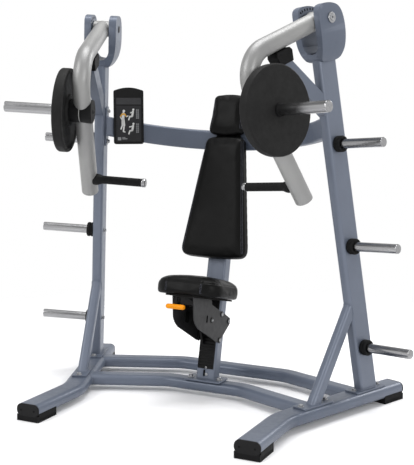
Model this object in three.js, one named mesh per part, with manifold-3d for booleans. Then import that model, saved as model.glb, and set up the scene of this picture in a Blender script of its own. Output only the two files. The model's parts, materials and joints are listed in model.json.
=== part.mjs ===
// Plate-loaded chest press machine, in millimetres, +Z up.
// The user sits facing -Y. The machine is symmetric about the plane x = 0.
import * as THREE from 'three';
import { mergeVertices } from 'three/addons/utils/BufferGeometryUtils.js';
import Module from 'manifold-3d';

const wasm = await Module();
wasm.setup();

// ---------------------------------------------------------------- driving dimensions
const DEG = Math.PI / 180;
const GAP = 0.3;                 // clearance kept between pieces that touch

const TOE = 21.5 * DEG;          // side frames splay outward towards the rear by this much
const LEAN = 3.5 * DEG;          // side frames lean inward by this much
const POST_TILT = 8.5 * DEG;     // posts rake forward by this much
const SEAT_TILT = 13.2 * DEG;    // the seat post rakes back by this much
const PAD_TILT = 1.2 * DEG;      // the backrest rakes back this much more than its post

const RAIL = {
  width: 120, height: 58, corner: 26, bottom: 24, halfSpan: 548, front: 6, kneeY: 372, rearRun: 800, bend: 260,
};
const RAIL_TOP = RAIL.bottom + RAIL.height;
const FOOT = { length: 143, width: 118, cap: 9, height: 44 };
const CROSS = { width: 92, height: 56, corner: 24, bend: 200 };
const PLATE = 8;                 // thickness of the bolted mounting plates
const POST = { thick: 52, deep: 120, back: 4, corner: 16, run: 584, top: 1630 };
const BRACE = { thick: 50, deep: 58, corner: 18, foot: 375, joint: 455 };
const HEAD = { pivotForward: 258, pivotUp: 1737, inner: 45, outerThick: 32, innerThick: 36, recess: 8, boss: 42 };
const SHAFT = { radius: 12.5, boss: 24 };
const BEARING = { outer: 26 };

const ARM = {
  radius: 41, hub: 38, cornerForward: 514, cornerUp: -200, endForward: 130, endUp: -807, bend: 135,
};
const HORN = { forward: 380, up: -409, radius: 25, tip: 374, stud: 15, bore: 16 };
const DISC = { radius: 195, inner: 58, outer: 106, rim: 18, recess: 10 };
const COLLAR = { radius: 55, split: 10, slit: 4, innerEnd: 47 };
const GRIP = { forward: 178, up: -739, radius: 20, bar: 13, length: 294, sweep: 8.7 * DEG, flare: 27 };

const PEG = { radius: 22, collar: 37, collarEnd: 62, heights: [216, 710, 1192], tips: [298, 298, 288] };
const BUMPER = { start: 246, end: 352, half: 30, deep: 62 };

const SEAT_POST = { width: 100, deep: 70, corner: 12, y: 711 };
const ARCH = {
  tall: 98, thick: 50, corner: 12, endHeight: 1252, midY: 1026, midZ: 1256, plateTall: 196, plateWide: 62,
};
const PLACARD = { wide: 154, tall: 288, thick: 8, x: -526, rise: 74, offset: 36 };

// Backrest heights are measured up the backrest from its low edge, which is PADS.start up the post.
const PADS = { start: 608, stand: 20, thick: 56, board: 4 };
const BACK_PAD = { low: 0, high: 613, lowHalf: 182, highHalf: 110, corner: 46 };
const HEAD_PAD = { low: 625, high: 826, lowHalf: 97, highHalf: 84, corner: 30 };
const SEAT_PAD = { half: 172, back: 9, front: 340, low: 407, high: 484, corner: 88 };
const CARRIAGE = { inside: 52, plate: 5 };
const RACK_HALF = 40;

// ---------------------------------------------------------------- materials
function paint(color, roughness, metalness) {
  return new THREE.MeshStandardMaterial({ color, roughness, metalness });
}
const framePaint = paint(0x7d8698, 0.45, 0.35);
const armPaint = paint(0xb4b4b2, 0.4, 0.45);
const chrome = paint(0xc8c8c8, 0.18, 1.0);
const blackRubber = paint(0x18181a, 0.75, 0.0);
const blackPlastic = paint(0x222224, 0.5, 0.0);
const plateGuard = paint(0x2c2c2d, 0.6, 0.0);
const vinyl = paint(0x1b1b1c, 0.5, 0.0);
const darkSteel = paint(0x4b4b4c, 0.5, 0.4);
const orangePlastic = paint(0xeba014, 0.45, 0.0);
const board = paint(0x2b2622, 0.8, 0.0);

// ---------------------------------------------------------------- solids and booleans
function toManifold(geometry) {
  const bare = geometry.clone();
  for (const name of ['normal', 'uv']) bare.deleteAttribute(name);
  const merged = mergeVertices(bare, 1e-3);
  return new wasm.Manifold(new wasm.Mesh({
    numProp: 3,
    vertProperties: new Float32Array(merged.attributes.position.array),
    triVerts: new Uint32Array(merged.index.array),
  }));
}

function toGeometry(manifold) {
  const mesh = manifold.getMesh();
  const geometry = new THREE.BufferGeometry();
  geometry.setAttribute('position', new THREE.BufferAttribute(new Float32Array(mesh.vertProperties), 3));
  geometry.setIndex(new THREE.BufferAttribute(new Uint32Array(mesh.triVerts), 1));
  geometry.computeVertexNormals();
  return geometry;
}

function cut(geometry, ...tools) {
  return toGeometry(tools.reduce((solid, tool) => solid.subtract(toManifold(tool)), toManifold(geometry)));
}

function common(geometry, other) {
  return toGeometry(toManifold(geometry).intersect(toManifold(other)));
}

function join(geometry, ...others) {
  return toGeometry(others.reduce((solid, other) => solid.add(toManifold(other)), toManifold(geometry)));
}

// A box given by its lowest and highest corners.
function block(low, high) {
  const size = high.map((value, i) => value - low[i]);
  const middle = high.map((value, i) => (value + low[i]) / 2);
  return new THREE.BoxGeometry(...size).translate(...middle);
}

// Rectangle with rounded corners, centred on the origin.
function roundedRectangle(width, height, corner) {
  const x = width / 2;
  const y = height / 2;
  const shape = new THREE.Shape();
  shape.moveTo(x - corner, -y);
  shape.absarc(x - corner, -y + corner, corner, -Math.PI / 2, 0);
  shape.absarc(x - corner, y - corner, corner, 0, Math.PI / 2);
  shape.absarc(-x + corner, y - corner, corner, Math.PI / 2, Math.PI);
  shape.absarc(-x + corner, -y + corner, corner, Math.PI, 1.5 * Math.PI);
  return shape;
}

function extrude(shape, depth, curveSegments = 4) {
  return new THREE.ExtrudeGeometry(shape, { depth, bevelEnabled: false, curveSegments });
}

// A slab lying in the plane across X: shape x is measured rearward (+Y), shape y upward (+Z).
function slabAcrossX(shape, from, to, curveSegments = 6) {
  const toFrame = new THREE.Matrix4().makeBasis(
    new THREE.Vector3(0, 1, 0), new THREE.Vector3(0, 0, 1), new THREE.Vector3(1, 0, 0));
  return extrude(shape, to - from, curveSegments).applyMatrix4(toFrame).translate(from, 0, 0);
}

function polygon(points) {
  return new THREE.Shape(points.map(([x, y]) => new THREE.Vector2(x, y)));
}

// A solid of revolution about the X axis. The profile lists [x, radius] and closes on the axis.
function turned(profile, segments = 24) {
  const points = [[profile[0][0], 0], ...profile, [profile.at(-1)[0], 0]];
  const lathe = new THREE.LatheGeometry(points.map(([x, r]) => new THREE.Vector2(r, x)), segments);
  return lathe.rotateZ(-Math.PI / 2);
}

// A curve through given stations, which keeps the section's second axis close to the `up` direction.
class Spine extends THREE.Curve {
  constructor(points, up) {
    super();
    this.points = points;
    this.up = up;
  }

  getPoint(t) {
    return this.points[Math.round(t * (this.points.length - 1))];
  }

  getSpacedPoints() {
    return this.points;
  }

  computeFrenetFrames() {
    const last = this.points.length - 1;
    const frames = { tangents: [], normals: [], binormals: [] };
    this.points.forEach((point, i) => {
      const before = this.points[Math.max(i - 1, 0)];
      const after = this.points[Math.min(i + 1, last)];
      const into = point.clone().sub(before).normalize();
      const out = after.clone().sub(point).normalize();
      const tangent = into.add(out).normalize();
      const normal = new THREE.Vector3().crossVectors(this.up, tangent).normalize();
      frames.tangents.push(tangent);
      frames.normals.push(normal);
      frames.binormals.push(new THREE.Vector3().crossVectors(tangent, normal));
    });
    return frames;
  }
}

function sweep(shape, points, up, curveSegments = 4) {
  return new THREE.ExtrudeGeometry(shape, {
    steps: points.length - 1,
    extrudePath: new Spine(points, up),
    curveSegments,
    bevelEnabled: false,
  });
}

// Stations along start - corner - end with the corner rounded to the given radius.
function bentPath(start, corner, end, radius, arcSteps) {
  const into = corner.clone().sub(start).normalize();
  const out = end.clone().sub(corner).normalize();
  const turn = into.angleTo(out);
  const setback = radius * Math.tan(turn / 2);
  const inward = out.clone().sub(into).normalize();
  const centre = corner.clone().addScaledVector(inward, radius / Math.cos(turn / 2));
  const first = corner.clone().addScaledVector(into, -setback).sub(centre);
  const axis = new THREE.Vector3().crossVectors(into, out).normalize();
  const arc = Array.from({ length: arcSteps + 1 }, (_, i) =>
    first.clone().applyAxisAngle(axis, (turn * i) / arcSteps).add(centre));
  return [start, ...arc, end];
}

const UP = new THREE.Vector3(0, 0, 1);
const ACROSS = new THREE.Vector3(1, 0, 0);
const vector = (x, y, z) => new THREE.Vector3(x, y, z);

// ---------------------------------------------------------------- frames of reference
const machine = new THREE.Group();
const postFoot = vector(
  RAIL.halfSpan + POST.run * Math.sin(TOE), RAIL.kneeY + POST.run * Math.cos(TOE), RAIL_TOP);

// Side frame: local +X outward, +Y rearward along the rail, +Z up. `leaned` also leans inward,
// and `raked` also rakes forward, so that its +Z runs up the post.
function sideFrame(sign) {
  const yawed = new THREE.Group();
  yawed.position.set(sign * postFoot.x, postFoot.y, postFoot.z);
  yawed.rotation.z = -sign * TOE;
  const leaned = new THREE.Group();
  leaned.rotation.y = -sign * LEAN;
  const raked = new THREE.Group();
  raked.rotation.x = POST_TILT;
  const pivot = new THREE.Group();
  pivot.position.set(0, -HEAD.pivotForward, HEAD.pivotUp);
  machine.add(yawed);
  yawed.add(leaned);
  leaned.add(raked, pivot);
  return { sign, name: sign > 0 ? 'right' : 'left', yawed, leaned, raked, pivot };
}
const sides = [sideFrame(1), sideFrame(-1)];

const seatFrame = new THREE.Group();
seatFrame.position.set(0, SEAT_POST.y, RAIL_TOP);
seatFrame.rotation.x = -SEAT_TILT;
machine.add(seatFrame);

const leanMatrix = new THREE.Matrix4().makeRotationY(-LEAN);
const rakeMatrix = new THREE.Matrix4().makeRotationX(POST_TILT);
const yawedFromRaked = leanMatrix.clone().multiply(rakeMatrix);
const seatMatrix = new THREE.Matrix4().makeRotationX(-SEAT_TILT).setPosition(0, SEAT_POST.y, RAIL_TOP);

function add(parent, name, geometry, material) {
  const mesh = new THREE.Mesh(geometry, material);
  mesh.name = name;
  parent.add(mesh);
}

function mirrored(geometry) {
  const copy = geometry.index ? geometry.clone() : mergeVertices(geometry.clone());
  copy.scale(-1, 1, 1);
  const index = Array.from(copy.index.array);
  for (let i = 0; i < index.length; i += 3) [index[i], index[i + 1]] = [index[i + 1], index[i]];
  copy.setIndex(index);
  return copy;
}

// Adds the right-hand geometry and its mirror image, each in its own side's frame.
function addPair(frameName, name, geometry, material) {
  for (const side of sides) {
    const parent = frameName === 'machine' ? machine : side[frameName];
    add(parent, `${name}_${side.name}`, side.sign > 0 ? geometry : mirrored(geometry), material);
  }
}

// ---------------------------------------------------------------- base
const railMidZ = RAIL.bottom + RAIL.height / 2;
const knee = vector(RAIL.halfSpan, RAIL.kneeY, railMidZ);
const railFront = vector(RAIL.halfSpan, RAIL.front, railMidZ);
const railRear = vector(
  RAIL.halfSpan + RAIL.rearRun * Math.sin(TOE), RAIL.kneeY + RAIL.rearRun * Math.cos(TOE), railMidZ);

// The right-hand base rail; `grow` makes it larger all round for use as a cutting tool.
function rail(grow = 0) {
  const section = roundedRectangle(RAIL.width + 2 * grow, RAIL.height + 2 * grow, RAIL.corner + grow);
  return sweep(section, bentPath(railFront, knee, railRear, RAIL.bend, 4), UP, 2);
}

// A cross tube with a straight middle at y = middle and ends that bend forward to meet the rails squarely.
function baseCrossTube(middle, halfStraight, reach) {
  const z = RAIL.bottom + CROSS.height / 2;
  const tip = vector(reach, middle - (reach - halfStraight) * Math.tan(TOE), z);
  const corner = vector(halfStraight, middle, z);
  const half = bentPath(vector(0, middle, z), corner, tip, CROSS.bend, 2);
  const otherHalf = half.slice(1).map((p) => vector(-p.x, p.y, p.z)).reverse();
  const section = roundedRectangle(CROSS.width, CROSS.height, CROSS.corner);
  const tube = sweep(section, [...otherHalf, ...half.slice(1)], UP, 2);
  return cut(tube, rail(GAP), mirrored(rail(GAP)));
}

// End cap and foot in one moulding, which cradles the rail's rounded underside.
// Local +Y runs into the rail's open end.
function railEnd() {
  const alongRail = (grow, length, start) =>
    extrude(roundedRectangle(RAIL.width + 2 * grow, RAIL.height + 2 * grow, RAIL.corner + grow), length, 2)
      .rotateX(-Math.PI / 2).translate(0, start, railMidZ);
  const cap = alongRail(0, FOOT.cap, -FOOT.cap - GAP);
  const sole = block(
    [-FOOT.width / 2, -FOOT.cap - GAP, 0], [FOOT.width / 2, FOOT.length - FOOT.cap, FOOT.height]);
  return join(cap, cut(sole, alongRail(GAP, FOOT.length + 20, -GAP)));
}

function makeBase() {
  addPair('machine', 'base_rail', rail(), framePaint);
  add(machine, 'front_cross_tube', baseCrossTube(727, 205, 600), framePaint);
  add(machine, 'rear_cross_tube', baseCrossTube(1058, 300, 740), framePaint);
  for (const side of sides) {
    const ends = { front: [railFront, 0], rear: [railRear, Math.PI - TOE] };
    for (const [end, [at, turn]] of Object.entries(ends)) {
      const holder = new THREE.Group();
      holder.position.set(side.sign * at.x, at.y, 0);
      holder.rotation.z = side.sign * turn;
      machine.add(holder);
      add(holder, `${end}_foot_${side.name}`, railEnd(), blackRubber);
    }
  }
}

// ---------------------------------------------------------------- posts, braces and head
const plateBottom = GAP;
const plateTop = GAP + PLATE;
const belowPlate = block([-400, -900, -400], [400, 600, plateBottom]);

function mountingPlate(centreY, length, width) {
  return extrude(roundedRectangle(width, length, 10), PLATE, 1).translate(0, centreY, plateBottom);
}

// Post tube in the raked frame, from below the base plate up into the throat of the head.
function postTube(grow = 0) {
  const section = roundedRectangle(POST.thick + 2 * grow, POST.deep + 2 * grow, POST.corner + grow);
  return extrude(section, POST.top + 40, 1).translate(0, POST.back, -40);
}

function makePost() {
  const neck = common(slabAcrossX(CHEEK_OUTLINE, -POST.thick / 2, POST.thick / 2), alongHead([
    [-100, -200], [100, -200], [100, -130], [-100, -130]]));
  const upright = cut(join(postTube(), placeInHead(neck)), placeInHead(headThroat()))
    .applyMatrix4(yawedFromRaked);
  return join(cut(upright, belowPlate), mountingPlate(0, 212, 84));
}

// Brace from a plate on the rail, in front of the post, up and back to the post's front face.
function makeBrace() {
  const topForward = Math.tan(POST_TILT) * BRACE.joint;
  const run = vector(0, BRACE.foot - topForward, BRACE.joint);
  const angle = Math.atan2(run.y, run.z);
  const tube = extrude(roundedRectangle(BRACE.thick, BRACE.deep, BRACE.corner), run.length() + 60, 1)
    .translate(0, 0, -60).rotateX(-angle).translate(0, -BRACE.foot, 0).applyMatrix4(leanMatrix);
  const cleared = cut(tube, postTube(GAP).applyMatrix4(yawedFromRaked), belowPlate);
  return join(cleared, mountingPlate(-BRACE.foot, 200, 78));
}

// Cheek outline about the pivot: shape x rearward, shape y up the post.
const CHEEK_OUTLINE = polygon([
  [-80, 34], [-75, 50], [-61, 61], [-38, 67], [3, 67], [43, 58], [65, 42], [80, 16], [87, -20], [88, -55],
  [84, -110], [79, -148], [60, -190], [-54, -190], [-70, -158], [-79, -100]].reverse());
const RECESS_OUTLINE = polygon([
  [-62, 30], [-70, 14], [-72, -84], [-66, -112], [68, -112], [74, -60], [72, 14], [56, 30]]);

// Slots cast under the crown: rearward, up, and the tilt across the outline in degrees.
const CHEEK_SLOTS = [[-60, 39, 48], [-48, 46, 28], [-31, 50, 14], [-13, 52, 4], [6, 52, -4], [25, 50, -12]];

// A bar along Y through the head; shape x is across the head and shape y up, both from the pivot.
function alongHead(points) {
  return extrude(polygon(points), 400, 1).rotateX(Math.PI / 2).translate(0, 200, 0);
}

// The space between the cheeks, which narrows to a throat over the post.
function headThroat() {
  const half = HEAD.inner;
  return alongHead([[-20, -150], [20, -150], [half, -112], [half, 300], [-half, 300], [-half, -112]]);
}

// Everything inside the outer faces, which curve in to the post at the bottom.
function headEnvelope(half) {
  const curve = [[half, -62], [half - 2, -95], [half - 9, -128], [half - 21, -158], [half - 36, -180], [31, -192]];
  const mirror = curve.map(([x, z]) => [-x, z]);
  return alongHead([...mirror, ...curve.reverse(), [half, 200], [-half, 200]]);
}

// One of the two cheeks that hold the arm's pivot. The face towards the arm is recessed round the
// pivot boss and has a row of slots under the crown.
function cheek(side, thickness) {
  const far = HEAD.inner + thickness;
  const [low, high] = side > 0 ? [POST.thick / 2 + GAP, far] : [-far, -POST.thick / 2 - GAP];
  const body = common(slabAcrossX(CHEEK_OUTLINE, low, high), headEnvelope(far));
  const [near, deep] = [side * (HEAD.inner - 1), side * (HEAD.inner + HEAD.recess)];
  const [from, to] = [Math.min(near, deep), Math.max(near, deep)];
  const boss = turned([[from - 1, HEAD.boss], [to + 1, HEAD.boss]], 20);
  const recess = cut(slabAcrossX(RECESS_OUTLINE, from, to), boss);
  const slots = CHEEK_SLOTS.map(([y, z, tilt]) =>
    block([from, -4, -5.5], [to + 1, 4, 5.5]).rotateX(tilt * DEG).translate(0, y, z));
  const bore = turned([[low - 5, SHAFT.radius + GAP], [high + 5, SHAFT.radius + GAP]], 20);
  return cut(body, headThroat(), recess, ...slots, bore);
}

function placeInHead(geometry) {
  const pivotInRaked = vector(0, -HEAD.pivotForward, HEAD.pivotUp)
    .applyMatrix4(new THREE.Matrix4().makeRotationX(-POST_TILT));
  return geometry.translate(0, pivotInRaked.y, pivotInRaked.z);
}

function makeHead() {
  addPair('raked', 'outer_head_cheek', placeInHead(cheek(1, HEAD.outerThick)), framePaint);
  addPair('raked', 'inner_head_cheek', placeInHead(cheek(-1, HEAD.innerThick)), framePaint);
  const outerFace = HEAD.inner + HEAD.outerThick;
  const innerFace = HEAD.inner + HEAD.innerThick;
  const shaft = turned([
    [-innerFace - 12, SHAFT.boss - 6], [-innerFace - GAP, SHAFT.boss - 6], [-innerFace - GAP, SHAFT.radius],
    [outerFace + GAP, SHAFT.radius], [outerFace + GAP, SHAFT.boss], [outerFace + 5, SHAFT.boss],
    [outerFace + 7, SHAFT.boss - 3],
  ], 20);
  addPair('pivot', 'pivot_shaft', shaft, chrome);
}

// Rubber stop block on a bracket from the post's front face. The arm's upper tube rests on it.
function makeStop() {
  const drop = Math.atan2(-ARM.cornerUp, ARM.cornerForward);
  const along = (distance, below) => [
    -HEAD.pivotForward - distance * Math.cos(drop) + below * Math.sin(drop),
    HEAD.pivotUp - distance * Math.sin(drop) - below * Math.cos(drop)];
  const top = ARM.radius + GAP;
  const low = top + BUMPER.deep;
  const outline = polygon([
    along(BUMPER.start + 12, top), along(BUMPER.start, top + 16), along(BUMPER.start + 10, low),
    along(BUMPER.end - 14, low), along(BUMPER.end, top + 20), along(BUMPER.end - 8, top)]);
  addPair('leaned', 'arm_stop_bumper', slabAcrossX(outline, -BUMPER.half, BUMPER.half), blackRubber);
  const web = slabAcrossX(polygon([
    along(BUMPER.start + 12, low + GAP), along(BUMPER.end - 18, low + GAP), along(BUMPER.end - 22, low + 16),
    [-200, 1268], [-200, 1362]]), -22, 22);
  const postCut = postTube(GAP).applyMatrix4(rakeMatrix);
  const bracket = cut(web, postCut, block([-80, -232, 1200], [80, 100, 1600]));
  addPair('leaned', 'arm_stop_bracket', bracket, framePaint);
}

// Weight storage pegs: a bar with a rubber collar step against the post's outer face.
function makePegs() {
  const face = POST.thick / 2 + GAP;
  PEG.heights.forEach((height, i) => {
    const peg = turned([
      [face, PEG.collar - 5], [face + 5, PEG.collar], [PEG.collarEnd - 8, PEG.collar],
      [PEG.collarEnd, PEG.collar - 7], [PEG.collarEnd, PEG.radius], [PEG.tips[i] - 3, PEG.radius],
      [PEG.tips[i], PEG.radius - 3],
    ], 16).translate(0, -4, height);
    addPair('raked', `storage_peg_${['low', 'middle', 'high'][i]}`, peg, chrome);
  });
}

// ---------------------------------------------------------------- press arms, about the pivot
// In the pivot frame +X is outward, -Y forward. `forward` and `up` are turned into that frame here.
const inArm = (forward, up) => vector(0, -forward, up);
const armEnd = inArm(ARM.endForward, ARM.endUp);
const armPath = bentPath(inArm(0, 0), inArm(ARM.cornerForward, ARM.cornerUp), armEnd, ARM.bend, 7);

function armTube(grow = 0) {
  const circle = new THREE.Shape().absarc(0, 0, ARM.radius + grow, 0, 2 * Math.PI);
  return sweep(circle, armPath, ACROSS, 9);
}

function makeArms() {
  const dome = new THREE.SphereGeometry(ARM.radius - 0.5, 14, 6).scale(1, 1, 0.3);
  const down = armPath.at(-1).clone().sub(armPath.at(-2)).normalize();
  dome.applyQuaternion(new THREE.Quaternion().setFromUnitVectors(UP, down)).translate(...armEnd.toArray());
  const hub = turned([[-HEAD.inner + 1, ARM.hub], [HEAD.inner - 1, ARM.hub]], 18);
  const bore = turned([[-60, BEARING.outer + GAP], [60, BEARING.outer + GAP]], 16);
  const atHorn = (geometry) => geometry.translate(0, -HORN.forward, HORN.up);
  const hornBore = atHorn(turned([[-ARM.radius - 9, HORN.bore], [ARM.radius + 9, HORN.bore]], 16));
  addPair('pivot', 'press_arm', cut(join(armTube(), dome, hub), bore, hornBore), armPaint);
  const ring = (from, to) => cut(
    turned([[from, BEARING.outer], [to, BEARING.outer]], 16),
    turned([[from - 1, SHAFT.radius + GAP], [to + 1, SHAFT.radius + GAP]], 20));
  addPair('pivot', 'pivot_bearing', ring(-HEAD.inner + 2, HEAD.inner - 2), blackPlastic);

  // Horn saddle in two halves, clamped round the arm tube.
  const saddle = (from, to) => cut(
    atHorn(turned([
      [from, COLLAR.radius - 2], [from + 2, COLLAR.radius], [to - 2, COLLAR.radius], [to, COLLAR.radius - 2]], 20)),
    armTube(GAP),
    atHorn(turned([[-90, HORN.bore], [200, HORN.bore]], 16)));
  const [slitLow, slitHigh] = [COLLAR.split - COLLAR.slit / 2, COLLAR.split + COLLAR.slit / 2];
  addPair('pivot', 'horn_saddle_outer', saddle(slitHigh, DISC.inner - GAP), blackPlastic);
  addPair('pivot', 'horn_saddle_inner', saddle(-COLLAR.innerEnd, slitLow), blackPlastic);
  const floor = DISC.inner + DISC.recess;
  const boss = COLLAR.radius + 20;
  const disc = cut(
    atHorn(turned([
      [DISC.inner, DISC.radius - 5], [DISC.inner + 5, DISC.radius], [DISC.outer - 5, DISC.radius],
      [DISC.outer, DISC.radius - 5]], 32)),
    atHorn(cut(
      turned([[DISC.inner - 5, DISC.radius - DISC.rim], [floor, DISC.radius - DISC.rim - 4]], 24),
      turned([[DISC.inner - 6, boss], [floor + 1, boss]], 20))),
    atHorn(turned([[0, HORN.bore], [200, HORN.bore]], 16)));
  addPair('pivot', 'plate_stop_disc', disc, plateGuard);
  const horn = atHorn(turned([
    [-ARM.radius - 14, HORN.stud], [DISC.outer + GAP, HORN.stud], [DISC.outer + GAP, HORN.radius],
    [HORN.tip - 3, HORN.radius], [HORN.tip, HORN.radius - 3]], 16));
  addPair('pivot', 'weight_horn', horn, chrome);
}

// Handle: a steel bar with a capped end inside a rubber grip, swept slightly forward of the pivot axis.
function makeHandles() {
  const placed = (geometry) => geometry.rotateZ(GRIP.sweep).translate(0, -GRIP.forward, GRIP.up);
  const root = -ARM.radius;
  const bar = cut(placed(turned([
    [-GRIP.length, 17], [-GRIP.length + 3, GRIP.radius + 1.5], [-GRIP.length + 20, GRIP.radius + 1.5],
    [-GRIP.length + 20, GRIP.bar], [root + 10, GRIP.bar]], 20)), armTube(GAP));
  addPair('pivot', 'handle_bar', bar, chrome);
  const sleeve = cut(
    placed(turned([[-GRIP.length + 20 + GAP, GRIP.radius], [root - 30, GRIP.radius], [root - 14, GRIP.flare],
      [root + 12, GRIP.flare + 2]], 20)),
    placed(turned([[-GRIP.length, GRIP.bar + GAP], [0, GRIP.bar + GAP]], 20)),
    armTube(GAP));
  addPair('pivot', 'rubber_grip', sleeve, blackRubber);
}

// ---------------------------------------------------------------- seat post, arch and placard
// The arch is rolled to one radius in a plane that drops towards the rear.
function archPoints(count) {
  const innerFace = -POST.thick / 2 - GAP - PLATE / 2;
  const end = vector(innerFace, -Math.tan(POST_TILT) * ARCH.endHeight, ARCH.endHeight)
    .applyMatrix4(leanMatrix).applyAxisAngle(UP, -TOE).add(postFoot);
  const middle = vector(0, ARCH.midY, ARCH.midZ);
  const sagittal = vector(0, end.y - middle.y, end.z - middle.z);
  const depth = sagittal.length();
  const radius = (end.x ** 2 + depth ** 2) / (2 * depth);
  const sweepAngle = Math.asin(end.x / radius);
  const inward = sagittal.normalize();
  return Array.from({ length: count + 1 }, (_, i) => {
    const angle = sweepAngle * (2 * i / count - 1);
    return middle.clone().addScaledVector(inward, radius * (1 - Math.cos(angle)))
      .add(vector(radius * Math.sin(angle), 0, 0));
  });
}

const rakedToMachine = new THREE.Matrix4().makeRotationZ(-TOE).setPosition(postFoot)
  .multiply(yawedFromRaked);

// Cutting block that covers everything outward of a side's post inner face, in machine coordinates.
function outwardOfPost(sign) {
  const half = block([-POST.thick / 2 - GAP, -300, 900], [400, 300, 1600]).applyMatrix4(rakedToMachine);
  return sign > 0 ? half : mirrored(half);
}

function archPlate(sign) {
  const centre = ARCH.endHeight / Math.cos(POST_TILT);
  const plate = block(
    [-POST.thick / 2 - GAP - PLATE, -ARCH.plateWide / 2, centre - ARCH.plateTall / 2],
    [-POST.thick / 2 - GAP, ARCH.plateWide / 2, centre + ARCH.plateTall / 2]).applyMatrix4(rakedToMachine);
  return sign > 0 ? plate : mirrored(plate);
}

function makeArch() {
  const tube = sweep(roundedRectangle(ARCH.thick, ARCH.tall, ARCH.corner), archPoints(12), UP, 1);
  const trimmed = cut(tube, outwardOfPost(1), outwardOfPost(-1));
  add(machine, 'upper_arch_tube', join(trimmed, archPlate(1), archPlate(-1)), framePaint);
}

function makePlacard() {
  const points = archPoints(60);
  const index = points.findIndex((point) => point.x > PLACARD.x);
  const tangent = points[index].clone().sub(points[index - 1]).setZ(0).normalize();
  const yaw = Math.atan2(tangent.y, tangent.x);
  const holder = new THREE.Group();
  holder.position.copy(points[index]);
  holder.rotation.z = yaw;
  machine.add(holder);
  const x = PLACARD.wide / 2;
  const z = PLACARD.tall / 2;
  const corner = 12;
  const shape = new THREE.Shape();
  shape.moveTo(x - corner, -z);
  shape.absarc(x - corner, -z + corner, corner, -Math.PI / 2, 0);
  shape.lineTo(x, z - 8);
  shape.quadraticCurveTo(0, z + 10, -x, z - 8);
  shape.lineTo(-x, -z + corner);
  shape.absarc(-x + corner, -z + corner, corner, Math.PI, 1.5 * Math.PI);
  const panel = extrude(shape, PLACARD.thick, 6).rotateX(Math.PI / 2)
    .translate(0, -PLACARD.offset, PLACARD.rise);
  add(holder, 'instruction_placard', panel, blackPlastic);
}

function makeSeatPost() {
  const tube = extrude(roundedRectangle(SEAT_POST.width, SEAT_POST.deep, SEAT_POST.corner), 1260, 1)
    .translate(0, SEAT_POST.deep / 2, -60).applyMatrix4(seatMatrix);
  const plateLow = RAIL.bottom + CROSS.height + GAP;
  const archLow = ARCH.midZ - ARCH.tall / 2 - 2;
  const above = block([-100, 600, archLow], [100, 1400, 1600]);
  const below = block([-100, 500, -100], [100, 1000, plateLow]);
  const plate = extrude(roundedRectangle(200, 100, 10), PLATE, 1).translate(0, 727, plateLow);
  const slot = extrude(roundedRectangle(12, 34, 6), 12, 4).rotateX(Math.PI / 2)
    .translate(-6, 8, 34).applyMatrix4(seatMatrix);
  add(machine, 'seat_post', cut(join(cut(tube, above, below), plate), slot), framePaint);
}

// Ribbed latch rack on the front face of the seat post.
function makeRack() {
  const pitch = 16;
  const low = 64;
  const ribs = 24;
  const points = [[0, low - 8], [-5, low - 8]];
  for (let i = 0; i < ribs; i += 1) {
    const s = low + i * pitch;
    points.push([-5, s], [-1.6, s + 3], [-1.6, s + 8], [-5, s + 11]);
  }
  points.push([-5, low + ribs * pitch + 4], [0, low + ribs * pitch + 4]);
  const outline = polygon(points.reverse());
  const rack = slabAcrossX(outline, -RACK_HALF, RACK_HALF).translate(0, -GAP, 0);
  add(seatFrame, 'latch_rack', rack, blackPlastic);
}

// ---------------------------------------------------------------- upholstery
// A pad with rounded corners, tapering from its low edge to its high edge; shape y runs up the post.
function pad(low, high, lowHalf, highHalf, near, far, corner) {
  const shape = new THREE.Shape();
  shape.moveTo(-lowHalf + corner, low);
  shape.lineTo(lowHalf - corner, low);
  shape.quadraticCurveTo(lowHalf, low, lowHalf - 2, low + corner);
  shape.lineTo(highHalf, high - corner);
  shape.quadraticCurveTo(highHalf, high, highHalf - corner, high);
  shape.lineTo(-highHalf + corner, high);
  shape.quadraticCurveTo(-highHalf, high, -highHalf, high - corner);
  shape.lineTo(-lowHalf + 2, low + corner);
  shape.quadraticCurveTo(-lowHalf, low, -lowHalf + corner, low);
  return extrude(shape, far - near, 3).rotateX(Math.PI / 2).translate(0, -near, 0);
}

function makeBackrest() {
  const backrest = new THREE.Group();
  backrest.position.set(0, -PADS.stand, PADS.start);
  backrest.rotation.x = -PAD_TILT;
  seatFrame.add(backrest);
  for (const [name, size] of [['back_pad', BACK_PAD], ['head_pad', HEAD_PAD]]) {
    const cushion = pad(size.low, size.high, size.lowHalf, size.highHalf, 0, PADS.thick, size.corner);
    add(backrest, name, cushion, vinyl);
  }
  const backing = pad(BACK_PAD.low + 40, HEAD_PAD.high - 30, 120, 52, -PADS.board, -GAP, 20);
  add(backrest, 'backrest_board', backing, board);
}

// ---------------------------------------------------------------- seat carriage
// Shape x is measured rearward from the seat post's front face, shape y up along the post.
const plateOutline = () => {
  const shape = new THREE.Shape();
  shape.moveTo(-326, 398);
  shape.lineTo(-300, 300);
  shape.quadraticCurveTo(-285, 272, -240, 252);
  for (const [x, y] of [[-52, 200], [-6, 184], [30, 214], [116, 290], [122, 300], [108, 318], [46, 334],
    [-24, 350], [-116, 374], [-128, 398]]) shape.lineTo(x, y);
  return shape;
};

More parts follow.
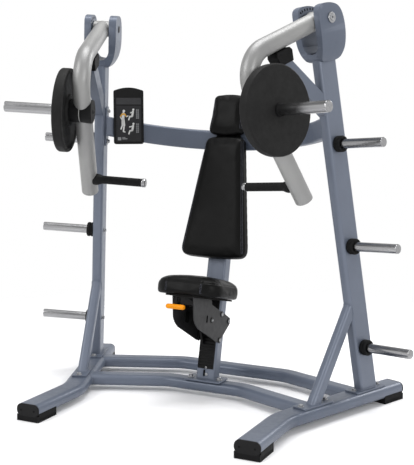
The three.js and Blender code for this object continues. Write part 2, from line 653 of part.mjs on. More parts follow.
function makeCarriage() {
  const inside = CARRIAGE.inside;
  const outside = inside + CARRIAGE.plate;
  const slot = slabAcrossX(roundedRectangle(16, 36, 8), inside - 5, outside + 5).translate(0, -158, 302);
  const sidePlate = cut(slabAcrossX(plateOutline(), inside, outside, 6), slot);
  add(seatFrame, 'carriage_plate_right', sidePlate, darkSteel);
  add(seatFrame, 'carriage_plate_left', mirrored(sidePlate), darkSteel);
  const glides = {
    rear_glide: [[70.5, 284], [108, 316]],
    front_glide: [[-22, 194], [-0.5, 342]],
  };
  for (const [name, [low, high]] of Object.entries(glides)) {
    const body = block([-inside + GAP, low[0], low[1]], [inside - GAP, high[0], high[1]]);
    const rackRelief = block([-RACK_HALF - 2, -8, 150], [RACK_HALF + 2, 1, 360]);
    const pawlRelief = block([-RACK_HALF - 2, -30, 150], [RACK_HALF + 2, 1, 300]);
    add(seatFrame, name, name === 'front_glide' ? cut(body, rackRelief, pawlRelief) : body, blackPlastic);
  }
  const seatBoard = pad(-SEAT_PAD.front + 22, 60, 112, 112, 0, 8, 40)
    .rotateX(-Math.PI / 2).translate(0, 0, SEAT_PAD.low - 8 - GAP);
  const boardCut = block([-200, -SEAT_PAD.back - 3, 300], [200, 200, 500]);
  add(seatFrame, 'seat_board', cut(seatBoard, boardCut), board);
}

function makeSeatPad() {
  const length = SEAT_PAD.front - SEAT_PAD.back;
  const section = roundedRectangle(2 * SEAT_PAD.half, length, SEAT_PAD.corner);
  const cushion = extrude(section, SEAT_PAD.high - SEAT_PAD.low, 6)
    .translate(0, -SEAT_PAD.back - length / 2, SEAT_PAD.low);
  add(seatFrame, 'seat_pad', cushion, vinyl);
}

// Release crank: pulling the orange handle up swings the pawl forward, out of the rack.
function makeRelease() {
  const crank = slabAcrossX(polygon([
    [-328.5, 356], [-328.5, 338], [-150, 348], [-112, 330], [-46, 222], [-22, 176], [-8, 176], [-8, 190],
    [-30, 232], [-98, 352], [-114, 382], [-140, 382], [-150, 368]]), -29, -17);
  const crankBore = turned([[-40, 6], [0, 6]], 12).translate(0, -128, 366);
  add(seatFrame, 'release_crank', cut(crank, crankBore), darkSteel);
  const reach = CARRIAGE.inside - GAP;
  const pin = turned([[-reach, 5.5], [reach, 5.5]], 12).translate(0, -128, 366);
  add(seatFrame, 'release_pivot_pin', pin, chrome);
  const handle = extrude(roundedRectangle(26, 26, 9), 96, 4).rotateY(Math.PI / 2).translate(-74, -342, 347);
  add(seatFrame, 'release_handle', handle, orangePlastic);
}

makeBase();
addPair('yawed', 'post', makePost(), framePaint);
addPair('yawed', 'brace', makeBrace(), framePaint);
makeHead();
makeStop();
makePegs();
makeArms();
makeHandles();
makeArch();
makePlacard();
makeSeatPost();
makeRack();
makeBackrest();
makeCarriage();
makeSeatPad();
makeRelease();

// The origin is the middle of the footprint, on the floor.
const box = new THREE.Box3().setFromObject(machine);
machine.position.y = -(box.min.y + box.max.y) / 2;

export default machine;
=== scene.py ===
"""Looks of a plate-loaded chest press machine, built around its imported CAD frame.

Outlines and stations are written in millimetres in the machine's own working frames, and each piece is
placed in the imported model's frame, which is in metres."""
import json
import math
import bmesh
import bpy
from mathutils import Matrix, Vector
from mathutils.bvhtree import BVHTree


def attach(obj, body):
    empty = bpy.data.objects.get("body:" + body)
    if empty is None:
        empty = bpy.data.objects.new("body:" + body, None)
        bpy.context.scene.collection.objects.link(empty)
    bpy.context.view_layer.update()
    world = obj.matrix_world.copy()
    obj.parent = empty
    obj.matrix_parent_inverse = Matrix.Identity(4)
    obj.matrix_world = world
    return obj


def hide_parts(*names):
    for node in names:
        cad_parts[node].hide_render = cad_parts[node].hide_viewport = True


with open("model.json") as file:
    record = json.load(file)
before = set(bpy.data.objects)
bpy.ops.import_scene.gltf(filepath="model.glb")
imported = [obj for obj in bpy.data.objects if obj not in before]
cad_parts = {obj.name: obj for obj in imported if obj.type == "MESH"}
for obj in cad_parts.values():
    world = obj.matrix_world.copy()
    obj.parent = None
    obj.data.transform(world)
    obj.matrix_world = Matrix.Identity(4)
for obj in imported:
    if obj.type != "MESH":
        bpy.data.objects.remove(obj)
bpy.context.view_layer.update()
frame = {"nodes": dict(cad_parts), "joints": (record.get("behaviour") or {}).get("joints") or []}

MM = 0.001
DEG = math.pi / 180

# ---------------------------------------------------------------- sizes shared with the CAD model
TOE, LEAN, POST_TILT, SEAT_TILT, PAD_TILT = 21.5 * DEG, 3.5 * DEG, 8.5 * DEG, 13.2 * DEG, 1.2 * DEG
RAIL_WIDTH, RAIL_HEIGHT, RAIL_CORNER, RAIL_BOTTOM = 120, 58, 26, 24
RAIL_TOP = RAIL_BOTTOM + RAIL_HEIGHT
RAIL_MID = RAIL_BOTTOM + RAIL_HEIGHT / 2
HALF_SPAN, RAIL_FRONT, KNEE_Y, REAR_RUN = 548, 6, 372, 800
CROSS_WIDTH, CROSS_HEIGHT, CROSS_CORNER = 92, 56, 24
PLATE = 8
POST_THICK, POST_DEEP, POST_BACK, POST_CORNER, POST_RUN, POST_TOP = 52, 120, 4, 16, 584, 1630
BRACE_THICK, BRACE_DEEP, BRACE_CORNER, BRACE_FOOT, BRACE_JOINT = 50, 58, 18, 375, 455
PIVOT_FORWARD, PIVOT_UP = 258, 1737
CHEEK_INNER, OUTER_THICK, INNER_THICK, CHEEK_RECESS, CHEEK_BOSS = 45, 32, 36, 8, 42
SHAFT_RADIUS, SHAFT_BOSS = 12.5, 24
ARM_RADIUS, ARM_HUB, ARM_BEND = 41, 38, 135
ARM_CORNER, ARM_END = (514, -200), (130, -807)
HORN_FORWARD, HORN_UP, HORN_RADIUS, HORN_TIP = 380, -409, 25, 374
DISC_RADIUS, DISC_INNER, DISC_OUTER = 195, 58, 106
COLLAR_RADIUS, COLLAR_SPLIT, COLLAR_END = 55, 10, 47
GRIP_FORWARD, GRIP_UP, GRIP_RADIUS, GRIP_LENGTH, GRIP_SWEEP = 178, -739, 20, 294, 8.7 * DEG
PEG_RADIUS, PEG_COLLAR, PEG_COLLAR_END = 22, 37, 62
PEGS = {"low": (216, 298), "middle": (710, 298), "high": (1192, 288)}    # height, tip
BUMPER_START, BUMPER_END, BUMPER_HALF, BUMPER_DEEP = 246, 352, 30, 62
SEAT_POST_WIDTH, SEAT_POST_DEEP, SEAT_POST_Y = 100, 70, 711
ARCH_TALL, ARCH_THICK, ARCH_CORNER, ARCH_END, ARCH_MID_Y, ARCH_MID_Z = 98, 50, 12, 1252, 1026, 1256
ARCH_PLATE_TALL, ARCH_PLATE_WIDE = 196, 62
PLACARD_WIDE, PLACARD_TALL, PLACARD_THICK, PLACARD_X, PLACARD_RISE, PLACARD_OFFSET = 154, 288, 8, -526, 74, 36
PAD_START, PAD_STAND, PAD_THICK = 608, 20, 56
BACK_PAD = dict(low=0, high=613, low_half=182, high_half=110, corner=46)
HEAD_PAD = dict(low=625, high=826, low_half=97, high_half=84, corner=30)
SEAT_HALF, SEAT_BACK, SEAT_FRONT, SEAT_LOW, SEAT_HIGH, SEAT_CORNER = 172, 9, 340, 407, 484, 88
CARRIAGE_INSIDE, CARRIAGE_PLATE = 52, 5
RACK_HALF = 40
GAP = 0.3                                   # clearance the CAD leaves between parts that touch
RAIL_BEND, CROSS_BEND = 260, 200
FRONT_CROSS, REAR_CROSS = (727, 205, 600), (1058, 300, 740)    # middle y, half of the straight run, reach
FOOT_HALF, FOOT_LENGTH, FOOT_TALL, CAP_THICK = 59, 134, 44, 9
PLATE_TOP = GAP + PLATE
POST_FACE = POST_THICK / 2 + GAP
PLATE_SLOT, LATCH_PIVOT, HANDLE_Y, HANDLE_Z = (-158, 302), (-128, 366), -342, 347
BRIDGE_FRONT, BRIDGE_REAR, BRIDGE_LOW, BRIDGE_TOP = -318, -128, 392, 398
SOFT_EDGE, PAD_BACKING, SEAM_X = 22, 4, 92
LENS, SENSOR, CAMERA_AT, CAMERA_DOWN, CAMERA_TURN = 74.2, 36, (2.063, -4.008, 1.424), 7.42, 26.29

# ---------------------------------------------------------------- frames of reference
UP = Vector((0, 0, 1))
ACROSS = Vector((1, 0, 0))


def turn(angle, axis):
    return Matrix.Rotation(angle, 4, axis)


def move(x, y, z):
    return Matrix.Translation((x * MM, y * MM, z * MM))


joints = {joint["name"]: joint for joint in frame["joints"]}
post_foot = Vector((HALF_SPAN + POST_RUN * math.sin(TOE), KNEE_Y + POST_RUN * math.cos(TOE), RAIL_TOP))


class Side:
    """One side frame: local +X outward, +Y rearward, +Z up. The left side's shapes are mirrored in X."""

    def __init__(self, name, sign):
        self.name, self.sign = name, sign
        self.body = f"press_arm_{name}"
        heading = turn(-sign * TOE, "Z")
        hinge = Matrix.Translation(joints[f"arm_{name}_swing"]["pos_m"])
        self.pivot = hinge @ heading @ turn(-sign * LEAN, "Y")
        self.leaned = self.pivot @ move(0, PIVOT_FORWARD, -PIVOT_UP)
        self.raked = self.leaned @ turn(POST_TILT, "X")
        self.yawed = Matrix.Translation(self.leaned.translation) @ heading


SIDES = [Side("right", 1), Side("left", -1)]
MACHINE = move(0, SIDES[0].leaned.translation.y / MM - post_foot.y, 0)
for each in SIDES:
    each.machine = MACHINE
SEAT = MACHINE @ move(0, SEAT_POST_Y, RAIL_TOP) @ turn(-SEAT_TILT, "X")
BACKREST = SEAT @ move(0, -PAD_STAND, PAD_START) @ turn(-PAD_TILT, "X")


# ---------------------------------------------------------------- camera
def make_camera():
    data = bpy.data.cameras.new("photo_view")
    data.sensor_fit = "VERTICAL"
    data.sensor_height = SENSOR
    data.lens = LENS
    data.clip_end = 60
    camera = bpy.data.objects.new("photo_view", data)
    bpy.context.collection.objects.link(camera)
    camera.location = CAMERA_AT
    camera.rotation_euler = ((90 - CAMERA_DOWN) * DEG, 0, CAMERA_TURN * DEG)
    bpy.context.scene.camera = camera


# ---------------------------------------------------------------- shapes: (vertices, faces) in millimetres
def rounded(width, height, corner, steps=8):
    """Outline of a rectangle with rounded corners, anticlockwise."""
    points = []
    for right, top, start in ((1, -1, -90), (1, 1, 0), (-1, 1, 90), (-1, -1, 180)):
        for i in range(steps + 1):
            angle = (start + 90 * i / steps) * DEG
            points.append((right * (width / 2 - corner) + corner * math.cos(angle),
                           top * (height / 2 - corner) + corner * math.sin(angle)))
    return points


def polar(radius, angle):
    return radius * math.cos(angle), radius * math.sin(angle)


def offset(outline, across=0, along=0):
    return [(a + across, b + along) for a, b in outline]


def mirrored(points):
    return [Vector((-p.x, p.y, p.z)) for p in points]


def circle(radius, steps=56):
    return [polar(radius, 2 * math.pi * i / steps) for i in range(steps)]


def eased(points, rounds=2):
    """A closed outline with its corners cut back evenly."""
    for _ in range(rounds):
        points = [tuple(a + (b - a) * t for a, b in zip(p, q))
                  for p, q in zip(points, points[1:] + points[:1]) for t in (0.25, 0.75)]
    return points


def smooth_bend(a, control, b, steps=10):
    """Stations after a on the curve to b that is drawn towards the control point."""
    a, control, b = Vector(a), Vector(control), Vector(b)
    return [tuple(a * (1 - t) ** 2 + control * 2 * t * (1 - t) + b * t * t)
            for t in (i / steps for i in range(1, steps + 1))]


def bent_path(start, corner, end, radius, steps):
    """Stations along start - corner - end with the corner rounded to the given radius."""
    start, corner, end = Vector(start), Vector(corner), Vector(end)
    into, out = (corner - start).normalized(), (end - corner).normalized()
    angle = into.angle(out)
    centre = corner + (out - into).normalized() * radius / math.cos(angle / 2)
    first = corner - into * radius * math.tan(angle / 2) - centre
    axis = into.cross(out).normalized()
    arc = [Matrix.Rotation(angle * i / steps, 3, axis) @ first + centre for i in range(steps + 1)]
    return [start, *arc, end]


def skin(rings, closed=False):
    """Faces that join equal rings of points, with a flat cap on each end unless the rings form a loop."""
    count, size = len(rings), len(rings[0])
    faces = []
    for i in range(count if closed else count - 1):
        a, b = i * size, ((i + 1) % count) * size
        faces += [(a + j, a + (j + 1) % size, b + (j + 1) % size, b + j) for j in range(size)]
    if not closed:
        faces += [tuple(reversed(range(size))), tuple(range((count - 1) * size, count * size))]
    return [tuple(p) for ring in rings for p in ring], faces


def sweep_rings(outline, path, up):
    rings = []
    for i, point in enumerate(path):
        before, after = path[max(i - 1, 0)], path[min(i + 1, len(path) - 1)]
        tangent = (point - before).normalized() + (after - point).normalized()
        tangent.normalize()
        normal = up.cross(tangent).normalized()
        binormal = tangent.cross(normal)
        rings.append([point + normal * x + binormal * y for x, y in outline])
    return rings


def sweep(outline, path, up):
    return skin(sweep_rings(outline, path, up))


def lathe(profile, segments=56):
    """A solid of revolution about local X. The profile lists (x, radius)."""
    return skin([[Vector((x, *point)) for point in circle(r, segments)] for x, r in profile])


def torus_lathe(profile, segments=56):
    """A ring about local X, from a closed profile of (x, radius)."""
    return skin([[Vector((x, *polar(r, 2 * math.pi * i / segments))) for x, r in profile]
                 for i in range(segments)], closed=True)


def slab(outline, low, high):
    """Outline of (rearward y, up z) between two x values."""
    return skin([[Vector((x, y, z)) for y, z in outline] for x in (low, high)])


def prism(outline, low, high):
    """Outline of (x, y) between two z values."""
    return skin([[Vector((x, y, z)) for x, y in outline] for z in (low, high)])


def panel(outline, front, back):
    """Outline of (x, z) between two y values."""
    return skin([[Vector((x, y, z)) for x, z in outline] for y in (front, back)])


def block(low, high):
    (x0, y0, z0), (x1, y1, z1) = low, high
    return prism([(x0, y0), (x1, y0), (x1, y1), (x0, y1)], z0, z1)


def shifted(shape, x=0, y=0, z=0):
    return [(a + x, b + y, c + z) for a, b, c in shape[0]], shape[1]


def turned(shape, matrix):
    return [tuple(matrix @ Vector(p)) for p in shape[0]], shape[1]


def merged(*shapes):
    """Several separate bodies as one shape."""
    points, faces = [], []
    for some_points, some_faces in shapes:
        start = len(points)
        points += some_points
        faces += [tuple(i + start for i in face) for face in some_faces]
    return points, faces


def tree(shape):
    return BVHTree.FromPolygons([Vector(p) for p in shape[0]], [list(f) for f in shape[1]])


def closed_object(name, points, faces, weld=False):
    """A linked object with its faces turned outward, and its doubled points welded if asked."""
    mesh = bpy.data.meshes.new(name)
    mesh.from_pydata(points, [], faces)
    body = bmesh.new()
    body.from_mesh(mesh)
    if weld:
        bmesh.ops.remove_doubles(body, verts=body.verts, dist=1e-6)
    bmesh.ops.recalc_face_normals(body, faces=body.faces)
    body.to_mesh(mesh)
    body.free()
    obj = bpy.data.objects.new(name, mesh)
    bpy.context.scene.collection.objects.link(obj)
    return obj


def scratch(shape):
    return closed_object("scratch", *shape)


def settle(obj):
    """Applies the object's modifiers to its mesh."""
    bpy.context.view_layer.update()
    graph = bpy.context.evaluated_depsgraph_get()
    mesh = bpy.data.meshes.new_from_object(obj.evaluated_get(graph), preserve_all_data_layers=True,
                                           depsgraph=graph)
    old, obj.data = obj.data, mesh
    obj.modifiers.clear()
    bpy.data.meshes.remove(old)


def discard(obj):
    mesh = obj.data
    bpy.data.objects.remove(obj)
    bpy.data.meshes.remove(mesh)


def combine(shape, tools, operation="DIFFERENCE"):
    base = scratch(shape)
    for tool in tools:
        other = scratch(tool)
        modifier = base.modifiers.new("boolean", "BOOLEAN")
        modifier.operation, modifier.solver, modifier.object = operation, "EXACT", other
        settle(base)
        discard(other)
    result = ([tuple(v.co) for v in base.data.vertices], [tuple(p.vertices) for p in base.data.polygons])
    discard(base)
    return result


def piece(name, shape, at, body, material, slot, stands_for=(), bevel=0.0, segments=2, sharp=32,
          mirror=False):
    """A finished rigid piece: the shape in its working frame, its edges rounded, riding on a CAD body."""
    flip = -1 if mirror else 1
    points = [(flip * x * MM, y * MM, z * MM) for x, y, z in shape[0]]
    obj = closed_object(name, points, shape[1], weld=True)
    if bevel:
        modifier = obj.modifiers.new("bevel", "BEVEL")
        modifier.width, modifier.segments = bevel * MM, segments
        modifier.limit_method, modifier.angle_limit = "ANGLE", sharp * DEG
        modifier.miter_outer = "MITER_ARC"
        settle(obj)
    obj.data.shade_smooth()
    obj.data.set_sharp_from_angle(angle=sharp * DEG)
    modifier = obj.modifiers.new("weighted", "WEIGHTED_NORMAL")
    modifier.keep_sharp = True
    settle(obj)
    mesh = obj.data
    mesh.name = name
    mesh.materials.clear()
    mesh.materials.append(material)
    obj.matrix_world = at
    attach(obj, body)
    if stands_for:
        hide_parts(*stands_for)
    return obj


def pair(name, shape, where, material, slot, stands_for=(), on_arm=False, **finish):
    """The same piece on both sides, mirrored, in each side's own working frame."""
    return [piece(f"{name}_{side.name}", shape, getattr(side, where), side.body if on_arm else "frame",
                  material, slot, [f"{node}_{side.name}" for node in stands_for], mirror=side.sign < 0,
                  **finish)
            for side in SIDES]


def frame_pair(name, shape, where, stands_for=(), **finish):
    return pair(name, shape, where, FRAME_PAINT, "frame_paint", stands_for, **finish)


def arm_pair(name, shape, material, slot, stands_for=(), **finish):
    return pair(name, shape, "pivot", material, slot, stands_for, on_arm=True, **finish)


# ---------------------------------------------------------------- materials
class Surface:
    """A node material whose colour, roughness and relief vary over the piece."""

    def __init__(self, name, metallic=0.0, **sockets):
        self.material = bpy.data.materials.new(name)
        self.material.use_nodes = True
        self.tree = self.material.node_tree
        self.shader = self.tree.nodes["Principled BSDF"]
        self.shader.inputs["Metallic"].default_value = metallic
        for socket, value in sockets.items():
            self.shader.inputs[socket.replace("_", " ")].default_value = value
        self.place = self.node("ShaderNodeTexCoord").outputs["Object"]
        self.heights = []

    def node(self, kind, **values):
        made = self.tree.nodes.new(kind)
        for key, value in values.items():
            setattr(made, key, value)
        return made

    def link(self, source, socket):
        self.tree.links.new(source, socket)

    def mapped(self, stretch):
        if stretch is None:
            return self.place
        mapping = self.node("ShaderNodeMapping")
        mapping.inputs["Scale"].default_value = stretch
        self.link(self.place, mapping.inputs["Vector"])
        return mapping.outputs["Vector"]

    def noise(self, scale, detail=3.0, rough=0.5, stretch=None):
        made = self.node("ShaderNodeTexNoise")
        made.inputs["Scale"].default_value = scale
        made.inputs["Detail"].default_value = detail
        made.inputs["Roughness"].default_value = rough
        self.link(self.mapped(stretch), made.inputs["Vector"])
        return made.outputs["Fac"]

    def cells(self, scale, feature="DISTANCE_TO_EDGE"):
        made = self.node("ShaderNodeTexVoronoi", feature=feature)
        made.inputs["Scale"].default_value = scale
        self.link(self.place, made.inputs["Vector"])
        return made.outputs["Distance"]

    def spread(self, source, low, high, start=0.3, stop=0.7):
        made = self.node("ShaderNodeMapRange")
        for socket, value in zip(("From Min", "From Max", "To Min", "To Max"), (start, stop, low, high)):
            made.inputs[socket].default_value = value
        self.link(source, made.inputs["Value"])
        return made.outputs["Result"]

    def ramp(self, source, *stops):
        made = self.node("ShaderNodeValToRGB")
        elements = made.color_ramp.elements
        while len(elements) < len(stops):
            elements.new(0.5)
        for element, (position, colour) in zip(elements, stops):
            element.position, element.color = position, (*colour, 1)
        self.link(source, made.inputs["Fac"])
        return made.outputs["Color"]

    def mix(self, factor, first, second):
        made = self.node("ShaderNodeMix", data_type="RGBA")
        self.link(factor, made.inputs["Factor"])
        for socket, value in ((made.inputs[6], first), (made.inputs[7], second)):
            if hasattr(value, "links"):
                self.link(value, socket)
            else:
                socket.default_value = (*value, 1)
        return made.outputs[2]

    def colour(self, source):
        self.link(source, self.shader.inputs["Base Color"])

    def roughness(self, source):
        self.link(source, self.shader.inputs["Roughness"])

    def relief(self, source, depth, strength=1.0):
        """Adds a bump layer whose full height is depth millimetres."""
        bump = self.node("ShaderNodeBump")
        bump.inputs["Strength"].default_value = strength
        bump.inputs["Distance"].default_value = depth * MM
        self.link(source, bump.inputs["Height"])
        if self.heights:
            self.link(self.heights[-1], bump.inputs["Normal"])
        self.heights.append(bump.outputs["Normal"])
        self.link(bump.outputs["Normal"], self.shader.inputs["Normal"])

    def edges(self):
        """Near 1 along sharp outside edges, 0.5 on flats."""
        return self.node("ShaderNodeNewGeometry").outputs["Pointiness"]


def srgb(*values):
    return tuple((v / 255 / 12.92) if v <= 10 else ((v / 255 + 0.055) / 1.055) ** 2.4 for v in values)


def painted(name, dark, light, edge, metallic, rough, **sockets):
    """Satin powder coat: a fine orange peel, a slow random drift in tone, and a painted highlight: outside
    edges painted a little paler, standing in for the light the bevels catch.
    """
    surface = Surface(name, metallic, **{"Coat_Weight": 0.12, "Coat_Roughness": 0.25, **sockets})
    edge = srgb(*edge)
    base = surface.ramp(surface.noise(4.5, 2), (0.35, srgb(*dark)), (0.65, srgb(*light)))
    fleck = surface.mix(surface.spread(surface.noise(1400, 1), 0, 0.10, 0.55, 0.75), base, edge)
    # painted highlight: convex edges are mixed toward the paler edge colour
    edge_highlight_mask = surface.spread(surface.edges(), 0, 0.55, 0.515, 0.58)
    surface.colour(surface.mix(edge_highlight_mask, fleck, edge))
    surface.roughness(surface.spread(surface.noise(38, 4), rough - 0.05, rough + 0.06))
    surface.relief(surface.noise(520, 2), 0.05)
    return surface.material


def bright_metal(name, dark, light, rough, scale=(3, 90, 90)):
    """Bar stock drawn along local X: faint lines along the bar and handling marks that dull it in places."""
    surface = Surface(name, 1.0)
    surface.colour(surface.ramp(surface.noise(1, 3, 0.5, scale), (0.3, srgb(*dark)), (0.7, srgb(*light))))
    surface.roughness(surface.spread(surface.noise(22, 3), rough - 0.03, rough + 0.05))
    surface.relief(surface.noise(35, 2), 0.02)
    return surface.material


def moulded(name, dark, light, rough, grain=650, depth=0.04, **sockets):
    """Moulded plastic or rubber with a fine spark-eroded grain and dusty highs."""
    surface = Surface(name, 0.0, **{"Specular_IOR_Level": 0.16, **sockets})
    surface.colour(surface.ramp(surface.noise(22, 5), (0.32, srgb(*dark)), (0.7, srgb(*light))))
    surface.roughness(surface.spread(surface.noise(60, 4), rough - 0.06, rough + 0.08))
    surface.relief(surface.noise(grain, 3, 0.6), depth)
    return surface.material


def vinyl(name):
    """Upholstery vinyl: a pebbled grain with creases between the pebbles, and a slow change of shine."""
    surface = Surface(name, 0.0, Specular_IOR_Level=0.11)
    pebbles = surface.cells(420)
    surface.colour(surface.ramp(surface.noise(9, 5), (0.3, srgb(6, 6, 6)), (0.7, srgb(10, 10, 10))))
    surface.roughness(surface.spread(surface.noise(24, 4), 0.36, 0.46))
    surface.relief(surface.spread(pebbles, 0, 1, 0.0, 0.35), 0.10)
    surface.relief(surface.noise(90, 3), 0.12)
    return surface.material


FRAME_PAINT = painted("blue_grey_powder_coat", (76, 84, 99), (83, 91, 106), (106, 113, 127), 0.25, 0.42)
ARM_PAINT = painted("silver_powder_coat", (130, 130, 130), (139, 139, 138), (164, 164, 162), 0.30, 0.42)
CHROME = bright_metal("drawn_chrome_bar", (146, 146, 148), (168, 168, 169), 0.22)
ZINC = bright_metal("zinc_plated_fastener", (150, 151, 153), (180, 181, 183), 0.30, (90, 90, 90))
RUBBER = moulded("black_rubber", (6, 6, 7), (11, 11, 12), 0.62)
GRIP_RUBBER = moulded("grip_rubber", (8, 8, 9), (14, 14, 15), 0.6, 900, 0.08)
PLASTIC = moulded("black_moulded_plastic", (7, 7, 8), (13, 13, 14), 0.45)
CAP = moulded("charcoal_end_cap", (17, 17, 18), (22, 22, 23), 0.5)
DISC = moulded("charcoal_plate_guard", (20, 20, 20), (26, 26, 26), 0.6, 480, 0.07)
DARK_STEEL = painted("dark_grey_powder_coat", (26, 26, 27), (32, 32, 33), (52, 52, 54), 0.0, 0.5,
                     Coat_Weight=0.02, Specular_IOR_Level=0.22)
ORANGE = moulded("orange_plastic", (206, 124, 8), (222, 142, 14), 0.36, 500, 0.04)
BOARD = moulded("black_painted_plywood", (9, 8, 8), (15, 14, 13), 0.8, 300, 0.1)
VINYL = vinyl("pebbled_vinyl")
THREAD = moulded("upholstery_thread", (74, 76, 86), (96, 98, 110), 0.7, 2500, 0.05)
GLOSS_PANEL = moulded("printed_panel", (36, 36, 38), (41, 41, 43), 0.4, 900, 0.01)
PANEL_HEAD = moulded("printed_header", (50, 50, 52), (56, 56, 58), 0.4, 900, 0.01)
INK_WHITE = moulded("white_ink", (196, 196, 195), (212, 212, 210), 0.5, 900, 0.01)
INK_GREY = moulded("grey_ink", (118, 119, 121), (134, 135, 137), 0.5, 900, 0.01)
INK_YELLOW = moulded("yellow_ink", (204, 152, 52), (216, 166, 62), 0.5, 900, 0.01)
# near black: painted shade set inside and behind slots, and also the own colour of the small end cap screws
SHADE_AND_SCREW_BLACK = moulded("blackened_recess", (4, 4, 4), (7, 7, 7), 0.8)


# ---------------------------------------------------------------- small hardware
def hexagon(across_flats, start=0.0):
    return [polar(across_flats / math.sqrt(3), (60 * i + start) * DEG) for i in range(6)]


def upright(profile, segments):
    """A solid of revolution that stands on z = 0. The profile lists (z, radius)."""
    return turned(lathe(profile, segments), turn(-90 * DEG, "Y"))


def bolt(name, at, body, size=19, head=8, washer=14, spin=12.0):
    """Hex bolt head with a domed end on a flat washer, standing on z = 0."""
    ring = upright([(0, washer - 0.4), (0.4, washer), (2.1, washer), (2.5, washer - 0.5)], 32)
    half = size / 2
    flats = prism(hexagon(size, spin), 2.5, 2.5 + head)
    crown = upright([(2.5 + head, half * 0.93), (3.6 + head, half * 0.8), (4.2 + head, half * 0.45)], 24)
    return piece(name, merged(ring, flats, crown), at, body, ZINC, "chrome", bevel=0.5, segments=1, sharp=28)


def cap_screw(name, at, body, radius=7, head=4.5, material=ZINC, slot="chrome"):
    """Low round head with a hexagon socket, standing on z = 0."""
    dome = upright([(0, radius), (head * 0.6, radius), (head * 0.9, radius * 0.85), (head, radius * 0.62)],
                   32)
    socket = prism(hexagon(radius * 0.9), head * 0.35, head + 1)
    return piece(name, combine(dome, [socket]), at, body, material, slot, bevel=0.25, segments=1)


def bead(loop, radius=3.0, pitch=4.5, ripple=0.14):
    """A weld bead laid along a closed loop of points, with its stack-of-coins ripple."""
    lengths = [0.0]
    closed = [*loop, loop[0]]
    for a, b in zip(closed, closed[1:]):
        lengths.append(lengths[-1] + (b - a).length)
    total = lengths[-1]
    count = max(24, int(total / 1.9))
    stations, k = [], 0
    for i in range(count):
        s = total * i / count
        while lengths[k + 1] < s:
            k += 1
        t = (s - lengths[k]) / max(lengths[k + 1] - lengths[k], 1e-9)
        stations.append((closed[k].lerp(closed[k + 1], t), s))
    rings = []
    waves = max(6, round(total / pitch))
    for i, (point, s) in enumerate(stations):
        tangent = (stations[(i + 1) % count][0] - stations[i - 1][0]).normalized()
        side = tangent.orthogonal() if i == 0 else side - tangent * side.dot(tangent)
        side.normalize()
        other = tangent.cross(side)
        size = radius * (1 + ripple * math.sin(2 * math.pi * waves * s / total))
        rings.append([point + (side * math.cos(a * math.pi / 4) + other * math.sin(a * math.pi / 4)) * size
                      for a in range(8)])
    # the frame carried round the loop comes back turned, so the last ring is joined with the nearest start
    first, last = rings[0], rings[-1]
    offset = min(range(8), key=lambda o: sum((first[(a + o) % 8] - last[a]).length for a in range(8)))
    points, faces = skin(rings)
    faces = faces[:-2]
    start = (count - 1) * 8
    faces += [(start + a, start + (a + 1) % 8, (a + 1 + offset) % 8, (a + offset) % 8) for a in range(8)]
    return points, faces


def onto(points, direction, surface, fallback=0.0):
    """Each point moved along direction until it meets the surface, given as a search tree."""
    reached = []
    for point in points:
        hit = surface.ray_cast(Vector(point) - direction * 60, direction, 400)[0]
        reached.append(hit if hit is not None else Vector(point) + direction * fallback)
    return reached


def to_plane(points, direction, origin, normal):
    return [point + direction * ((origin - point).dot(normal) / direction.dot(normal)) for point in points]


# ---------------------------------------------------------------- base
rail_front = Vector((HALF_SPAN, RAIL_FRONT, RAIL_MID))
rail_knee = Vector((HALF_SPAN, KNEE_Y, RAIL_MID))
rail_rear = Vector((HALF_SPAN + REAR_RUN * math.sin(TOE), KNEE_Y + REAR_RUN * math.cos(TOE), RAIL_MID))


def rail_shape():
    return sweep(rounded(RAIL_WIDTH, RAIL_HEIGHT, RAIL_CORNER, 10),
                 bent_path(rail_front, rail_knee, rail_rear, RAIL_BEND, 22), UP)


def cross_tube(middle, half_straight, reach, rail):
    z = RAIL_BOTTOM + CROSS_HEIGHT / 2
    tip = (reach, middle - (reach - half_straight) * math.tan(TOE), z)
    half = bent_path((0, middle, z), (half_straight, middle, z), tip, CROSS_BEND, 14)[1:]
    half[-1] = half[-2].lerp(half[-1], 0.6)
    path = mirrored(reversed(half)) + half
    rings = sweep_rings(rounded(CROSS_WIDTH, CROSS_HEIGHT, CROSS_CORNER, 10), path, UP)
    outward = (half[-1] - half[-2]).normalized()
    rings[-1] = onto(rings[-1], outward, rail, 30)
    joint = list(rings[-1])
    rings[0] = mirrored(onto(mirrored(rings[0]), outward, rail, 30))
    return skin(rings), joint


def foot_shape():
    """End cap, and the block that cradles the rail. Local +Y runs into the rail's open end."""
    cap = offset(rounded(RAIL_WIDTH, RAIL_HEIGHT, RAIL_CORNER, 10), 0, RAIL_MID)
    cover = panel(cap, -CAP_THICK - GAP, -GAP)
    space = panel(offset(rounded(RAIL_WIDTH + 0.6, RAIL_HEIGHT + 0.6, RAIL_CORNER, 10), 0, RAIL_MID), -GAP,
                  200)
    sole = combine(block((-FOOT_HALF, GAP - CAP_THICK, 0), (FOOT_HALF, FOOT_LENGTH, FOOT_TALL)),
                   [panel([(-80, 30), (80, 30), (80, 60), (-80, 60)], -12, -0.4)])
    grooves = [block((side * FOOT_HALF - 1.6, y, 4), (side * FOOT_HALF + 1.6, y + 2.6, 17))
               for side in (-1, 1) for y in range(6, 128, 9)]
    return cover, combine(sole, [merged(*grooves), space])


